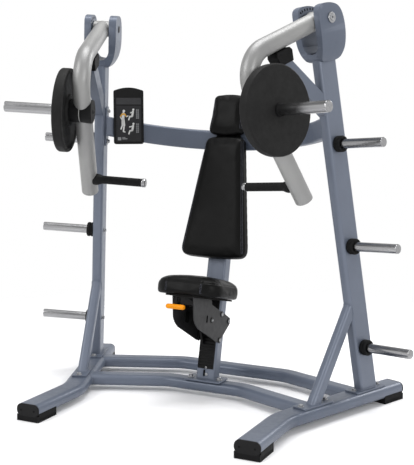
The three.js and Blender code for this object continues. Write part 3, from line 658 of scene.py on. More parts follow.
def make_base():
    rail = rail_shape()
    frame_pair("base_rail_tube", rail, "machine", ["base_rail"])
    surface = tree(rail)
    for name, (middle, straight, reach) in {
            "front_cross_tube": FRONT_CROSS, "rear_cross_tube": REAR_CROSS}.items():
        shape, joint = cross_tube(middle, straight, reach, surface)
        piece(f"{name}_formed", shape, MACHINE, "frame", FRAME_PAINT, "frame_paint", [name])
        frame_pair(f"{name}_weld", bead(joint), "machine")
    cover, sole = foot_shape()
    for side in SIDES:
        ends = {"front": (rail_front, 0.0), "rear": (rail_rear, math.pi - TOE)}
        for end, (at, angle) in ends.items():
            where = MACHINE @ move(side.sign * at.x, at.y, 0) @ turn(side.sign * angle, "Z")
            mirror = side.sign < 0
            piece(f"{end}_end_cap_{side.name}", cover, where, "frame", CAP, "black_rubber", bevel=2.4,
                  segments=3,
                  mirror=mirror)
            piece(f"{end}_foot_block_{side.name}", sole, where, "frame", RUBBER, "black_rubber",
                  [f"{end}_foot_{side.name}"], bevel=1.2, mirror=mirror)
            for k in (-1, 1):
                screw = where @ move(k * 36, -9.2, RAIL_MID - 1) @ turn(90 * DEG, "X")
                cap_screw(f"{end}_cap_screw_{side.name}_{'a' if k < 0 else 'b'}", screw, "frame", 4.6, 1.6,
                          SHADE_AND_SCREW_BLACK, "black_rubber")


# ---------------------------------------------------------------- posts and braces

def in_frame(matrix, points):
    return [matrix @ Vector(p) for p in points]


def make_posts():
    lean = turn(-LEAN, "Y").to_3x3()
    rake = turn(POST_TILT, "X").to_3x3()
    outline = offset(rounded(POST_THICK, POST_DEEP, POST_CORNER, 9), 0, POST_BACK)
    up_post = lean @ rake @ UP
    base = in_frame(lean @ rake, [(x, y, 0) for x, y in outline])
    foot = to_plane(base, up_post, Vector((0, 0, PLATE_TOP)), UP)
    top = [p + up_post * POST_TOP for p in base]
    post = skin([foot, top])
    throat = turned(in_head(head_throat()), turn(-LEAN, "Y") @ turn(POST_TILT, "X"))
    frame_pair("post_tube", combine(post, [throat]), "yawed", ["post"], sharp=40)
    half = POST_THICK / 2
    band = slab([(-100, -192), (100, -192), (100, -120), (-100, -120)], -half - 5, half + 5)
    neck = combine(slab(CHEEK_OUTLINE, -half, half), [band], "INTERSECT")
    frame_pair("head_neck_casting", in_head(combine(neck, [head_throat()])), "raked", bevel=2.0,
         sharp=36)
    frame_pair("post_foot_weld", bead(foot), "yawed")
    plate = prism(rounded(84, 212, 10, 6), GAP, PLATE_TOP)
    frame_pair("post_foot_plate", plate, "yawed", bevel=1.6, segments=3)
    surface = tree(post)
    forward = math.tan(POST_TILT) * BRACE_JOINT
    run = Vector((0, BRACE_FOOT - forward, BRACE_JOINT))
    angle = math.atan2(run.y, run.z)
    tilt = turn(-angle, "X").to_3x3()
    along = lean @ tilt @ UP
    section = [lean @ (tilt @ Vector((x, y, 0)) + Vector((0, -BRACE_FOOT, 0)))
               for x, y in rounded(BRACE_THICK, BRACE_DEEP, BRACE_CORNER, 9)]
    low = to_plane(section, along, Vector((0, 0, PLATE_TOP)), UP)
    high = onto([p + along * (run.length - 120) for p in section], along, surface, 60)
    frame_pair("brace_tube", skin([low, high]), "yawed", ["brace"], sharp=40)
    frame_pair("brace_foot_weld", bead(low), "yawed")
    frame_pair("brace_top_weld", bead(high, 2.6), "yawed")
    plate = prism(offset(rounded(78, 200, 10, 6), 0, -BRACE_FOOT), GAP, PLATE_TOP)
    frame_pair("brace_foot_plate", plate, "yawed", bevel=1.6, segments=3)
    for side in SIDES:
        for label, y in {"post_rear": 88, "post_front": -86, "brace_rear": -294, "brace_front": -458}.items():
            bolt(f"{label}_bolt_{side.name}", side.yawed @ move(0, y, PLATE_TOP), "frame", spin=20.0)


# ---------------------------------------------------------------- head
def in_head(shape):
    """Moves a shape from the pivot to its place in the raked frame."""
    pivot = turn(-POST_TILT, "X") @ Vector((0, -PIVOT_FORWARD, PIVOT_UP))
    return shifted(shape, y=pivot.y, z=pivot.z)


def along_head(outline):
    """A bar along Y through the head from an outline of (across x, up z)."""
    return panel(outline, -200, 200)


def head_throat():
    """The space between the cheeks, which narrows over the post."""
    half = CHEEK_INNER
    right = [(-20 + 40 * i / 4, -150 + 1.5 * abs(i - 2)) for i in range(5)]
    right += smooth_bend((20, -147), (38, -138), (half, -108), 8) + [(half, 300)]
    return along_head([(-x, z) for x, z in reversed(right[5:])] + right)


def head_envelope(half):
    """Everything inside the outer faces, which curve in to the post at the bottom."""
    curve = [(half, -50)] + smooth_bend((half, -50), (half, -120), (half - 20, -158), 10)
    curve += smooth_bend((half - 20, -158), (half - 32, -182), (31, -192), 6)
    return along_head([(-x, z) for x, z in curve] + [(x, z) for x, z in reversed(curve)]
                      + [(half, 200), (-half, 200)])


CHEEK_OUTLINE = eased([(-80, 34), (-75, 50), (-61, 61), (-38, 67), (3, 67), (43, 58), (65, 42), (80, 16),
                       (87, -20),
                       (88, -55), (84, -110), (79, -148), (60, -190), (-54, -190), (-70, -158), (-79, -100)])
RECESS_OUTLINE = eased([(-62, 30), (-70, 14), (-72, -84), (-66, -114), (68, -114), (74, -60), (72, 14),
                        (56, 30)])
# Slots cast under the crown: rearward, up, and the tilt across the outline.
CHEEK_SLOTS = [(-60, 39, 48), (-48, 46, 28), (-31, 50, 14), (-13, 52, 4), (6, 52, -4), (25, 50, -12)]


def cheek_slots(low, high, half_width=4.0, half_length=5.5):
    return merged(*[shifted(turned(block((low, -half_width, -half_length), (high, half_width, half_length)),
                                   turn(tilt * DEG, "X")), y=y, z=z) for y, z, tilt in CHEEK_SLOTS])


def cheek(side, thickness):
    far = CHEEK_INNER + thickness
    near = POST_FACE
    low, high = sorted((side * near, side * far))
    start, stop = sorted((side * (CHEEK_INNER - 1), side * (CHEEK_INNER + CHEEK_RECESS)))
    body = combine(slab(CHEEK_OUTLINE, low, high), [head_envelope(far)], "INTERSECT")
    boss = lathe([(start - 1, CHEEK_BOSS), (stop + 1, CHEEK_BOSS)], 48)
    recess = combine(slab(RECESS_OUTLINE, start, stop), [boss])
    return in_head(combine(body, [head_throat(), recess, cheek_slots(start, stop + 1)]))


def make_heads():
    frame_pair("outer_cheek_casting", cheek(1, OUTER_THICK), "raked", ["outer_head_cheek"],
         bevel=3.0, segments=3, sharp=36)
    frame_pair("inner_cheek_casting", cheek(-1, INNER_THICK), "raked", ["inner_head_cheek"],
         bevel=3.0, segments=3, sharp=36)
    shadow = cheek_slots(-CHEEK_INNER - CHEEK_RECESS - 0.8, -CHEEK_INNER - 0.8, 3.9, 5.4)
    pair("slot_shadow_strip", in_head(shadow), "raked", SHADE_AND_SCREW_BLACK, "frame_paint")

    face = CHEEK_INNER + OUTER_THICK
    bore = lathe([(-CHEEK_INNER - INNER_THICK + 0.5, SHAFT_RADIUS), (face, SHAFT_RADIUS)])
    flange = lathe(offset([(0.2, -0.8), (1, 0), (4.2, 0), (5.4, -1.6)], face, SHAFT_BOSS)
                   + offset([(5.4, 15.5), (4.4, 14.6), (4.4, 13.2), (7, 12.4), (7, 6)], face))
    socket = turned(prism(hexagon(10), face + 2.5, face + 9), turn(90 * DEG, "Y"))
    pair("pivot_cap", merged(combine(flange, [socket]), bore), "pivot", ZINC, "chrome", ["pivot_shaft"],
         sharp=25)
    back = -CHEEK_INNER - INNER_THICK
    plug = lathe([(back - 3.4, 9), (back - 3, 14), (back - 2, 16.4), (back - 0.4, 17)])
    pair("pivot_end_plug", plug, "pivot", DARK_STEEL, "frame_paint", sharp=28)


# ---------------------------------------------------------------- arm stops
def make_stops():
    drop = math.atan2(-ARM_CORNER[1], ARM_CORNER[0])

    def along(distance, below):
        return (-PIVOT_FORWARD - distance * math.cos(drop) + below * math.sin(drop),
                PIVOT_UP - distance * math.sin(drop) - below * math.cos(drop))

    top = ARM_RADIUS + GAP
    low = top + BUMPER_DEEP
    outline = [along(BUMPER_START + 12, top), along(BUMPER_START, top + 16), along(BUMPER_START + 10, low),
               along(BUMPER_END - 14, low), along(BUMPER_END, top + 20), along(BUMPER_END - 8, top)]
    pair("stop_bumper_block", slab(outline, -BUMPER_HALF, BUMPER_HALF), "leaned", RUBBER, "black_rubber",
         ["arm_stop_bumper"], bevel=2.5, segments=3)
    web = slab([along(BUMPER_START + 12, low + GAP), along(BUMPER_END - 18, low + GAP),
                along(BUMPER_END - 22, low + 16), (-200, 1268), (-200, 1362)], -22, 22)
    rake = turn(POST_TILT, "X")
    post = turned(shifted(prism(rounded(POST_THICK + 0.6, POST_DEEP + 0.6, POST_CORNER, 9), 900, 1640),
                          y=POST_BACK), rake)
    frame_pair("stop_bracket_web", combine(web, [post]), "leaned", ["arm_stop_bracket"],
         bevel=3, segments=3)


# ---------------------------------------------------------------- storage pegs
def make_pegs():
    face = POST_FACE
    for label, (height, tip) in PEGS.items():
        place = dict(y=-4, z=height)
        bar = lathe([(face + 2, PEG_RADIUS - 2), (PEG_COLLAR_END + 4, PEG_RADIUS), (tip - 3.5, PEG_RADIUS),
                     (tip - 1.2, PEG_RADIUS - 1), (tip, PEG_RADIUS - 3.2), (tip, 1)])
        pair(f"storage_peg_bar_{label}", shifted(bar, **place), "raked", CHROME, "chrome",
             [f"storage_peg_{label}"])
        end = PEG_COLLAR_END
        bumper = offset([(0, -5), (2, -1.4), (6, 0.6), (12, 0.6), (14.5, -1.6), (16.5, -2.4), (18.5, -1.6),
                         (21, 0.6)], face, PEG_COLLAR)
        bumper += offset([(-6, 0.6), (-2, -1.4), (0, -5)], end, PEG_COLLAR)
        bumper += offset([(0, 7), (-3.5, 5.5), (-4, 0.2)], end, PEG_RADIUS) + [(face, PEG_RADIUS + 0.2)]
        pair(f"storage_peg_bumper_{label}", shifted(torus_lathe(bumper), **place), "raked", RUBBER,
             "black_rubber")
        for side in SIDES:
            inner = side.raked @ move(-side.sign * POST_THICK / 2, -4,
                                      height) @ turn(-side.sign * 90 * DEG, "Y")
            bolt(f"peg_nut_{label}_{side.name}", inner, "frame", size=17, head=9, washer=13)


# ---------------------------------------------------------------- press arms
def arm_point(forward, up):
    return Vector((0, -forward, up))


ARM_PATH = bent_path(arm_point(0, 0), arm_point(*ARM_CORNER), arm_point(*ARM_END), ARM_BEND, 36)


def arm_tube(radius, steps=64):
    return sweep(circle(radius, steps), ARM_PATH, ACROSS)


def domed_arm():
    rings = sweep_rings(circle(ARM_RADIUS, 64), ARM_PATH, ACROSS)
    end, down = ARM_PATH[-1], (ARM_PATH[-1] - ARM_PATH[-2]).normalized()
    edge = 6
    flat = rings[-1]
    rings[-1] = [p - down * edge for p in flat]
    for i in range(1, 9):
        angle = i * 80 * DEG / 8
        shrink = math.cos(angle)
        rings.append([end - down * edge + (p - end) * shrink + down * (edge + 6) * math.sin(angle)
                      for p in flat])
    return skin(rings)


def at_horn(shape):
    return shifted(shape, y=-HORN_FORWARD, z=HORN_UP)


def make_arms():
    arm_pair("press_arm_tube", domed_arm(), ARM_PAINT, "arm_paint", ["press_arm"])
    hub = lathe([(-CHEEK_INNER + 1, ARM_HUB - 2), (-CHEEK_INNER + 3, ARM_HUB), (CHEEK_INNER - 3, ARM_HUB),
                 (CHEEK_INNER - 1, ARM_HUB - 2)])
    arm_pair("press_arm_hub", hub, ARM_PAINT, "arm_paint")

    tube = arm_tube(ARM_RADIUS + 0.4)
    r = COLLAR_RADIUS

    def saddle(low, high):
        return combine(at_horn(lathe([(low, r - 3), (low + 1, r - 1), (low + 3, r), (high - 3, r),
                                      (high - 1, r - 1),
                                      (high, r - 3)], 72)), [tube])

    arm_pair("saddle_shell_outer", saddle(COLLAR_SPLIT + 2, DISC_INNER - 0.3), PLASTIC, "black_plastic",
         ["horn_saddle_outer"], sharp=38)
    arm_pair("saddle_shell_inner", saddle(-COLLAR_END, COLLAR_SPLIT - 2), PLASTIC, "black_plastic",
         ["horn_saddle_inner"], sharp=38)

    strip = combine(at_horn(lathe([(COLLAR_SPLIT - 1.6, r - 1.6), (COLLAR_SPLIT + 1.6, r - 1.6)], 72)),
                    [tube])
    arm_pair("saddle_split_strip", strip, ARM_PAINT, "black_plastic")

    inner = offset([(10, -24), (8, -20), (1, -18.5), (0, -16), (0, -8), (1.4, -3.5), (5, -0.8), (9, 0)],
                   DISC_INNER, DISC_RADIUS)
    outer = offset([(-9, 0), (-5, -0.8), (-1.4, -3.5), (0, -8)], DISC_OUTER, DISC_RADIUS)
    hollow = [(DISC_OUTER, r), (DISC_OUTER - 1.2, r - 2), (DISC_OUTER - 1.2, HORN_RADIUS + 4),
              (DISC_OUTER - 1.2, 1)]
    disc = lathe(offset([(9, 21), (10, 23)], DISC_INNER, r) + inner + outer + hollow, 128)
    back = lathe([(DISC_INNER, HORN_RADIUS), (DISC_INNER, r + 18), (DISC_INNER + 10, r + 21),
                  (DISC_INNER + 11, 10)], 96)
    arm_pair("plate_guard_disc", at_horn(merged(disc, back)), DISC, "disc_cover", ["plate_stop_disc"],
             sharp=40)
    horn = lathe([(DISC_OUTER - 1, HORN_RADIUS), (HORN_TIP - 4, HORN_RADIUS),
                  (HORN_TIP - 1.4, HORN_RADIUS - 1),
                  (HORN_TIP, HORN_RADIUS - 3.6), (HORN_TIP, 1)])
    arm_pair("weight_horn_bar", at_horn(horn), CHROME, "chrome", ["weight_horn"])
    ring = torus_lathe(offset([(0.2, 5.5), (4, 5), (9, 2.4), (10, 0.3), (0.2, 0.3)], DISC_OUTER, HORN_RADIUS))
    arm_pair("horn_base_ring", at_horn(ring), RUBBER, "black_rubber")
    for side in SIDES:
        lug = side.pivot @ move(-side.sign * COLLAR_END, -HORN_FORWARD,
                                HORN_UP) @ turn(-side.sign * 90 * DEG, "Y")
        cap_screw(f"saddle_screw_{side.name}", lug, side.body, 11, 5, DARK_STEEL, "black_plastic")


def make_handles():
    to_grip = Matrix.Translation((0, -GRIP_FORWARD, GRIP_UP)) @ turn(GRIP_SWEEP, "Z")
    tip = -GRIP_LENGTH
    cap = offset([(2.4, 0.2), (5, 1.5), (18, 1.5), (19.6, 0.5)], tip, GRIP_RADIUS)
    bar = lathe([(tip, 12), (tip + 0.6, 16)] + cap + [(tip + 19.6, 13), (-ARM_RADIUS + 14, 13)])
    arm_pair("handle_end_cap", turned(bar, to_grip), CHROME, "chrome", ["handle_bar"])
    profile = [(tip + 20.4, GRIP_RADIUS - 1.2), (tip + 22, GRIP_RADIUS)]
    groove = tip + 30
    while groove < -ARM_RADIUS - 44:
        profile += [(groove, GRIP_RADIUS), (groove + 0.9, GRIP_RADIUS - 0.8), (groove + 1.8, GRIP_RADIUS)]
        groove += 12
    root = -ARM_RADIUS
    profile += offset([(-34, 0), (-26, 1.6), (-18, 4.4), (-12, 6.6), (-4, 8), (14, 8.6)], root, GRIP_RADIUS)
    sleeve = combine(turned(lathe(profile, 56), to_grip), [arm_tube(ARM_RADIUS + 0.3, 56)])
    arm_pair("handle_grip_sleeve", sleeve, GRIP_RUBBER, "grip_rubber", ["rubber_grip"], sharp=40)


# ---------------------------------------------------------------- arch and placard
def arch_points(count):
    inner_face = -POST_FACE - PLATE / 2
    end = turn(-TOE, "Z") @ (turn(-LEAN, "Y") @ Vector((inner_face, -math.tan(POST_TILT) * ARCH_END,
                                                        ARCH_END)))
    end += post_foot
    middle = Vector((0, ARCH_MID_Y, ARCH_MID_Z))
    inward = Vector((0, end.y - middle.y, end.z - middle.z))
    depth = inward.length
    radius = (end.x ** 2 + depth ** 2) / (2 * depth)
    sweep_angle = math.asin(end.x / radius)
    inward.normalize()
    return [middle + inward * radius * (1 - math.cos(a)) + Vector((radius * math.sin(a), 0, 0))
            for a in (sweep_angle * (2 * i / count - 1) for i in range(count + 1))]


def make_arch():
    points = arch_points(60)
    rings = sweep_rings(rounded(ARCH_THICK, ARCH_TALL, ARCH_CORNER, 6), points, UP)
    raked = Matrix.Translation(post_foot) @ turn(-TOE, "Z") @ turn(-LEAN, "Y") @ turn(POST_TILT, "X")
    normal = (raked.to_3x3() @ ACROSS)
    plate_face = raked @ Vector((-POST_FACE - PLATE, 0, 0))
    outward = (points[-1] - points[-2]).normalized()
    rings = [ring for ring in rings if all(abs(p.x) < 560 for p in ring)]
    rings.append(to_plane(rings[-1], outward, plate_face, normal))
    joint = list(rings[-1])
    rings.insert(0, mirrored(to_plane(mirrored(rings[0]), outward, plate_face, normal)))
    piece("upper_arch_formed", skin(rings), MACHINE, "frame", FRAME_PAINT, "frame_paint",
          ["upper_arch_tube"], sharp=40)
    frame_pair("arch_weld", bead(joint, 2.6), "machine")
    centre = ARCH_END / math.cos(POST_TILT)
    outline = offset(rounded(ARCH_PLATE_WIDE, ARCH_PLATE_TALL, 9, 6), 0, centre)
    plate = slab(outline, -POST_FACE - PLATE, -POST_FACE)
    frame_pair("arch_end_plate", plate, "raked", bevel=1.4, segments=3)
    for side in SIDES:
        for label, dz in {"upper": 78, "lower": -78}.items():
            at = side.raked @ move(-side.sign * (POST_FACE + PLATE), 0, centre + dz) @ turn(
                -side.sign * 90 * DEG, "Y")
            bolt(f"arch_bolt_{label}_{side.name}", at, "frame", size=17, head=9, washer=13)


def capsule(a, b, radius, steps=10):
    """Rounded bar between two (x, z) points, as an outline."""
    ax, az = a
    bx, bz = b
    angle = math.atan2(bz - az, bx - ax)
    outline = []
    for (cx, cz), start in ((b, angle - math.pi / 2), (a, angle + math.pi / 2)):
        outline += offset([polar(radius, start + math.pi * i / steps) for i in range(steps + 1)], cx, cz)
    return outline


def make_placard():
    points = arch_points(60)
    index = next(i for i, p in enumerate(points) if p.x > PLACARD_X)
    tangent = points[index] - points[index - 1]
    at = points[index]
    holder = MACHINE @ move(at.x, at.y, at.z) @ turn(math.atan2(tangent.y, tangent.x), "Z") @ move(
        0, -PLACARD_OFFSET, PLACARD_RISE)
    x, z, corner = PLACARD_WIDE / 2, PLACARD_TALL / 2, 12

    def frame_outline():
        low, high = -z, z - 12
        arcs = ((x - corner, low + corner, 270), (x - corner, high - corner, 0),
                (-x + corner, high - corner, 90),
                (-x + corner, low + corner, 180))
        shape = [offset([polar(corner, (start + 90 * i / 8) * DEG) for i in range(9)], cx, cz)
                 for cx, cz, start in arcs]
        crown = [((x - corner) * (1 - 2 * i / 16), high + 12 * (1 - (1 - 2 * i / 16) ** 2))
                 for i in range(1, 16)]
        return shape[0] + shape[1] + crown + shape[2] + shape[3]

    def box(x0, z0, x1, z1, r=2):
        return offset(rounded(x1 - x0, z1 - z0, r, 4), (x0 + x1) / 2, (z0 + z1) / 2)

    def disc(cx, cz, radius):
        return offset(circle(radius, 20), cx, cz)

    recess = panel(box(-65, -131, 65, 93, 5), -PLACARD_THICK - 1, -PLACARD_THICK + 1.4)
    piece("placard_frame", combine(panel(frame_outline(), -PLACARD_THICK, 0), [recess]), holder, "frame",
          PLASTIC,
          "placard", ["instruction_placard"], bevel=1.3, segments=3)

    def printed(name, outlines, material, layer=0):
        face = -PLACARD_THICK + 1.3 - 0.25 * layer
        shapes = [panel(outline, face - 0.25, face + 0.4) for outline in outlines]
        piece(name, merged(*shapes), holder, "frame", material, "placard")

    printed("placard_header_band", [box(-64, 58, 64, 92)], PANEL_HEAD)
    printed("placard_picture_field", [box(-64, -130, 64, 52)], GLOSS_PANEL)
    # a tall walking figure on the left, and two small seated figures with a chart on the right
    printed("placard_figure", [
        disc(-25, 25, 6.5), capsule((-27, 12), (-30, -14), 7), capsule((-34, 10), (-43, -5), 3),
        capsule((-43, -5), (-36, -18), 2.6), capsule((-20, 10), (-12, -4), 3),
                               capsule((-12, -4), (-4, 0), 2.6),
        capsule((-31, -20), (-32, -44), 5.4), capsule((-32, -44), (-40, -66), 3.6),
                               capsule((-27, -20), (-24, -48), 5.4),
        capsule((-24, -48), (-28, -78), 3.6), capsule((-28, -80), (-20, -82), 2.6)], INK_WHITE, 1)
    printed("placard_muscle_mark", [capsule((-33, 9), (-22, 10), 4.4), capsule((-37, 5), (-41, -2), 3.2),
                                    capsule((-18, 7), (-14, 0), 3)], INK_YELLOW, 2)
    for name, cz, reach in (("start", 10, 0), ("finish", -62, 6)):
        printed(f"placard_seated_{name}", [
            disc(24, cz + 22, 5.4), capsule((22, cz + 12), (18, cz - 10), 5.2),
                                           capsule((18, cz - 12), (5, cz - 14), 4),
            capsule((5, cz - 14), (0, cz - 29), 3.4), capsule((22, cz + 10), (10 - reach, cz + 6), 2.8)],
                INK_WHITE, 1)
        grid = [box(38 + 8 * (k % 2), cz - 24 + 10 * (k // 2), 44 + 8 * (k % 2), cz - 17 + 10 * (k // 2), 0.8)
                for k in range(10)]
        printed(f"placard_chart_{name}", grid, INK_GREY, 1)
    printed("placard_footer_marks", [box(-57, -124, -40, -108), box(-34, -119, -8, -114),
                                     box(-34, -112, -18, -108, 1.5)],
            INK_GREY, 1)


# ---------------------------------------------------------------- seat post and rack
def make_seat_post():
    outline = rounded(SEAT_POST_WIDTH, SEAT_POST_DEEP, 12, 7)
    local = turn(-SEAT_TILT, "X")
    origin = Vector((0, SEAT_POST_Y, RAIL_TOP))
    up_post = (local @ UP).normalized()
    section = [local @ Vector((x, y + SEAT_POST_DEEP / 2, 0)) + origin for x, y in outline]
    plate_low = RAIL_BOTTOM + CROSS_HEIGHT + 0.3
    low = to_plane(section, up_post, Vector((0, 0, plate_low + PLATE)), UP)
    high = to_plane(section, up_post, Vector((0, 0, ARCH_MID_Z - ARCH_TALL / 2 - 0.5)), UP)
    to_local = (Matrix.Translation(origin) @ local).inverted()
    slot = panel(offset(rounded(12, 34, 6, 8), -6, 34), -4, 8)
    low_local = [to_local @ p for p in low]
    tube = combine(skin([low_local, [to_local @ p for p in high]]), [slot])
    piece("seat_post_tube", tube, SEAT, "frame", FRAME_PAINT, "frame_paint", ["seat_post"], sharp=40)
    piece("seat_post_weld", bead(low), MACHINE, "frame", FRAME_PAINT, "frame_paint")
    plate = prism(offset(rounded(200, 100, 10, 6), 0, FRONT_CROSS[0]), plate_low, plate_low + PLATE)
    piece("seat_post_foot_plate", plate, MACHINE, "frame", FRAME_PAINT, "frame_paint", bevel=1.6, segments=3)
    for label, x in {"left": -77, "right": 77}.items():
        bolt(f"seat_plate_bolt_{label}", MACHINE @ move(x, 716, plate_low + PLATE), "frame", size=20,
             head=11, washer=16)
    # painted shade: a near-black sheet set inside the seat post slot, standing in for the slot's shade
    piece("seat_post_slot_liner", panel(offset(rounded(11, 33, 5.5, 8), -6, 34), 6, 7.6), SEAT, "frame",
          SHADE_AND_SCREW_BLACK, "frame_paint")
    cap_screw("seat_post_slot_screw", SEAT @ move(8, 0, 28) @ turn(90 * DEG, "X"), "frame", 7, 4)

    low_end, pitch, ribs = 64, 16, 24
    points = [(0, low_end - 8), (-4, low_end - 8), (-5, low_end - 7)]
    for i in range(ribs):
        s = low_end + i * pitch
        points += [(-5, s), (-4.2, s + 1.6), (-1.9, s + 2.8), (-1.6, s + 5.5), (-1.9, s + 8.2),
                   (-4.2, s + 9.4), (-5, s + 11)]
    top = low_end + ribs * pitch + 4
    points += [(-5, top - 1), (-4, top), (0, top)]
    rack = shifted(slab(points, -RACK_HALF, RACK_HALF), y=-0.3)
    piece("latch_rack_ribbed", rack, SEAT, "frame", PLASTIC, "black_plastic", ["latch_rack"], sharp=50)
    edging = [slab([(-6.2, low_end - 8), (0, low_end - 8), (0, top), (-6.2, top)], side * RACK_HALF - 2.5,
                   side * RACK_HALF + 2.5)
              for side in (-1, 1)]
    piece("latch_rack_edging", shifted(merged(*edging), y=-0.3), SEAT, "frame", PLASTIC, "black_plastic",
          bevel=0.8)
    cap_screw("latch_rack_screw", SEAT @ move(4, -4.2, 62) @ turn(90 * DEG, "X"), "frame", 5.5, 3)


# ---------------------------------------------------------------- seat carriage
def carriage_outline():
    points = [(-326, 398), (-300, 300)]
    points += smooth_bend((-300, 300), (-285, 272), (-240, 252))
    points += [(-52, 200)] + smooth_bend((-52, 200), (-6, 184), (12, 198), 6)
    points += [(30, 214), (108, 284)] + smooth_bend((108, 284), (124, 300), (106, 318), 8)
    points += [(46, 334), (-24, 350), (-116, 374), (-128, 398)]
    return points


def make_carriage():
    inside, outside = CARRIAGE_INSIDE, CARRIAGE_INSIDE + CARRIAGE_PLATE
    slot = slab(offset(rounded(16, 36, 8, 6), *PLATE_SLOT), inside - 5, outside + 5)
    plate = combine(slab(carriage_outline(), inside, outside), [slot])
    for side in SIDES:
        piece(f"carriage_side_{side.name}", plate, SEAT, "seat_carriage", DARK_STEEL, "dark_steel",
              [f"carriage_plate_{side.name}"], bevel=1.0, mirror=side.sign < 0)
        # painted shade: a near-black patch on the plate's inner face behind the slot, standing in for the
        # shade seen through it
        slot_shade_patch = slab(offset(rounded(34, 54, 8, 6), *PLATE_SLOT), inside - 3, inside - 0.2)
        piece(f"carriage_slot_liner_{side.name}", slot_shade_patch, SEAT, "seat_carriage", SHADE_AND_SCREW_BLACK, "dark_steel",
              mirror=side.sign < 0)
        spots = {"post_low": (5, 203), "post_high": (4, 332), "rear": (92, 300), "clevis": (-105, 299)}
        for label, (y, z) in spots.items():
            at = SEAT @ move(side.sign * outside, y, z) @ turn(side.sign * 90 * DEG, "Y")
            cap_screw(f"carriage_screw_{label}_{side.name}", at, "seat_carriage",
                      9 if label != "clevis" else 7, 7)
            washer = turned(torus_lathe([(0, 15), (2, 14.4), (2, 9.2), (0, 9.2)], 36), turn(-90 * DEG, "Y"))
            piece(f"carriage_washer_{label}_{side.name}", washer, at, "seat_carriage", PLASTIC,
                  "black_plastic")
    # the front lip is open where the release lever rises through it
    bracket = merged(block((-CARRIAGE_INSIDE, BRIDGE_FRONT, BRIDGE_LOW),
                           (CARRIAGE_INSIDE, BRIDGE_REAR, BRIDGE_TOP)),
                     block((-CARRIAGE_INSIDE, BRIDGE_FRONT, 360), (-33, BRIDGE_FRONT + 5, BRIDGE_LOW)),
                     block((-13, BRIDGE_FRONT, 360), (CARRIAGE_INSIDE, BRIDGE_FRONT + 5, BRIDGE_LOW)))
    piece("carriage_top_bridge", bracket, SEAT, "seat_carriage", PLASTIC, "dark_steel", bevel=1.0)


def make_release():
    crank = slab([(-328.5, 356), (-328.5, 338), (-150, 348), (-112, 330), (-46, 222), (-22, 176), (-8, 176),
                  (-8, 190),
                  (-30, 232), (-98, 352), (-114, 382), (-140, 382), (-150, 368)], -29, -17)
    bore = slab(offset(circle(6, 24), *LATCH_PIVOT), -40, 0)
    piece("release_crank_lever", combine(crank, [bore]), SEAT, "seat_latch", PLASTIC, "dark_steel",
          ["release_crank"],
          bevel=1.6, segments=3)
    handle = lathe([(-74, 6), (-73, 9.5), (-69, 12), (-62, 13), (10, 13), (17, 12), (21, 9.5), (22, 6)], 48)
    handle = ([(x, y, z * 0.92) for x, y, z in handle[0]], handle[1])
    piece("release_handle_grip", shifted(handle, y=HANDLE_Y, z=HANDLE_Z), SEAT, "seat_latch", ORANGE,
          "orange_plastic",
          ["release_handle"])


# ---------------------------------------------------------------- upholstery
def pad_outline(low, high, low_half, high_half, corner, sag=6, crown=3):
    """Taper with rounded corners; its low edge sags and its high edge is crowned at the middle."""
    foot, top = low_half - corner, high_half - corner
    right = [(foot * i / 6, low - sag * (1 - (i / 6) ** 2)) for i in range(1, 7)]
    right += smooth_bend((foot, low), (low_half - 2, low), (low_half - 2, low + corner), 8)
    right += [(high_half, high - corner)] + smooth_bend((high_half, high - corner), (high_half, high),
                                                        (top, high), 8)
    right += [(top * i / 6, high + crown * (1 - (i / 6) ** 2)) for i in range(5, 0, -1)]
    return [(0, low - sag)] + right + [(0, high + crown)] + [(-x, z) for x, z in reversed(right)]


def soft_shape(outline, depth, edge):
    """A slab with its front edge rounded, as rings from the back to the front."""
    centre_x = sum(p[0] for p in outline) / len(outline)
    centre_z = (max(p[1] for p in outline) + min(p[1] for p in outline)) / 2
    span_x = max(p[0] for p in outline) - centre_x
    span_z = max(p[1] for p in outline) - centre_z
    levels = [(0, edge * 0.3), (edge * 0.3, 0)]
    levels += [(depth - edge * (1 - math.sin(a)), edge * (1 - math.cos(a)))
               for a in (math.pi * i / 14 for i in range(8))]
    levels += [(depth + 1.5, edge * 1.6), (depth + 3, edge * 2.6)]
    return skin([[Vector((centre_x + (x - centre_x) * (1 - inset / span_x), -level,
                          centre_z + (z - centre_z) * (1 - inset / span_z))) for x, z in outline]
                 for level, inset in levels])


def inflate(obj, voxel, cap, held, pressure=4.0):
    """Swells a closed mesh by cloth simulation. held says which vertices stay where they rest."""
    scene = bpy.context.scene
    modifier = obj.modifiers.new("remesh", "REMESH")
    modifier.mode, modifier.voxel_size = "VOXEL", voxel * MM
    settle(obj)
    start = [v.co.copy() for v in obj.data.vertices]
    group = obj.vertex_groups.new(name="held")
    group.add([v.index for v in obj.data.vertices if held(v.co)], 1.0, "REPLACE")
    cloth = obj.modifiers.new("cloth", "CLOTH")
    cloth.settings.use_pressure = True
    cloth.settings.uniform_pressure_force = pressure
    cloth.settings.effector_weights.gravity = 0
    cloth.settings.vertex_group_mass = "held"
    cloth.settings.quality = 5
    cloth.settings.tension_stiffness = cloth.settings.compression_stiffness = 18
    cloth.settings.bending_stiffness = 0.6
    cloth.point_cache.frame_start, cloth.point_cache.frame_end = 1, 20
    for step in range(1, 21):
        scene.frame_set(step)
    settle(obj)
    scene.frame_set(1)
    obj.vertex_groups.clear()
    limit = cap * MM
    for vertex, origin in zip(obj.data.vertices, start):
        step = vertex.co - origin
        if step.length > limit:
            vertex.co = origin + step.normalized() * limit
    smooth = obj.modifiers.new("smooth", "SMOOTH")
    smooth.factor, smooth.iterations = 0.5, 14
    subdivision = obj.modifiers.new("subdivision", "SUBSURF")
    subdivision.levels = subdivision.render_levels = 1
    settle(obj)


def cushion(name, shape, voxel, cap, held):
    obj = closed_object(name, [(x * MM, y * MM, z * MM) for x, y, z in shape[0]], shape[1])
    inflate(obj, voxel, cap, held)
    obj.data.name = name
    obj.data.materials.clear()
    obj.data.materials.append(VINYL)
    obj.data.shade_smooth()
    return obj


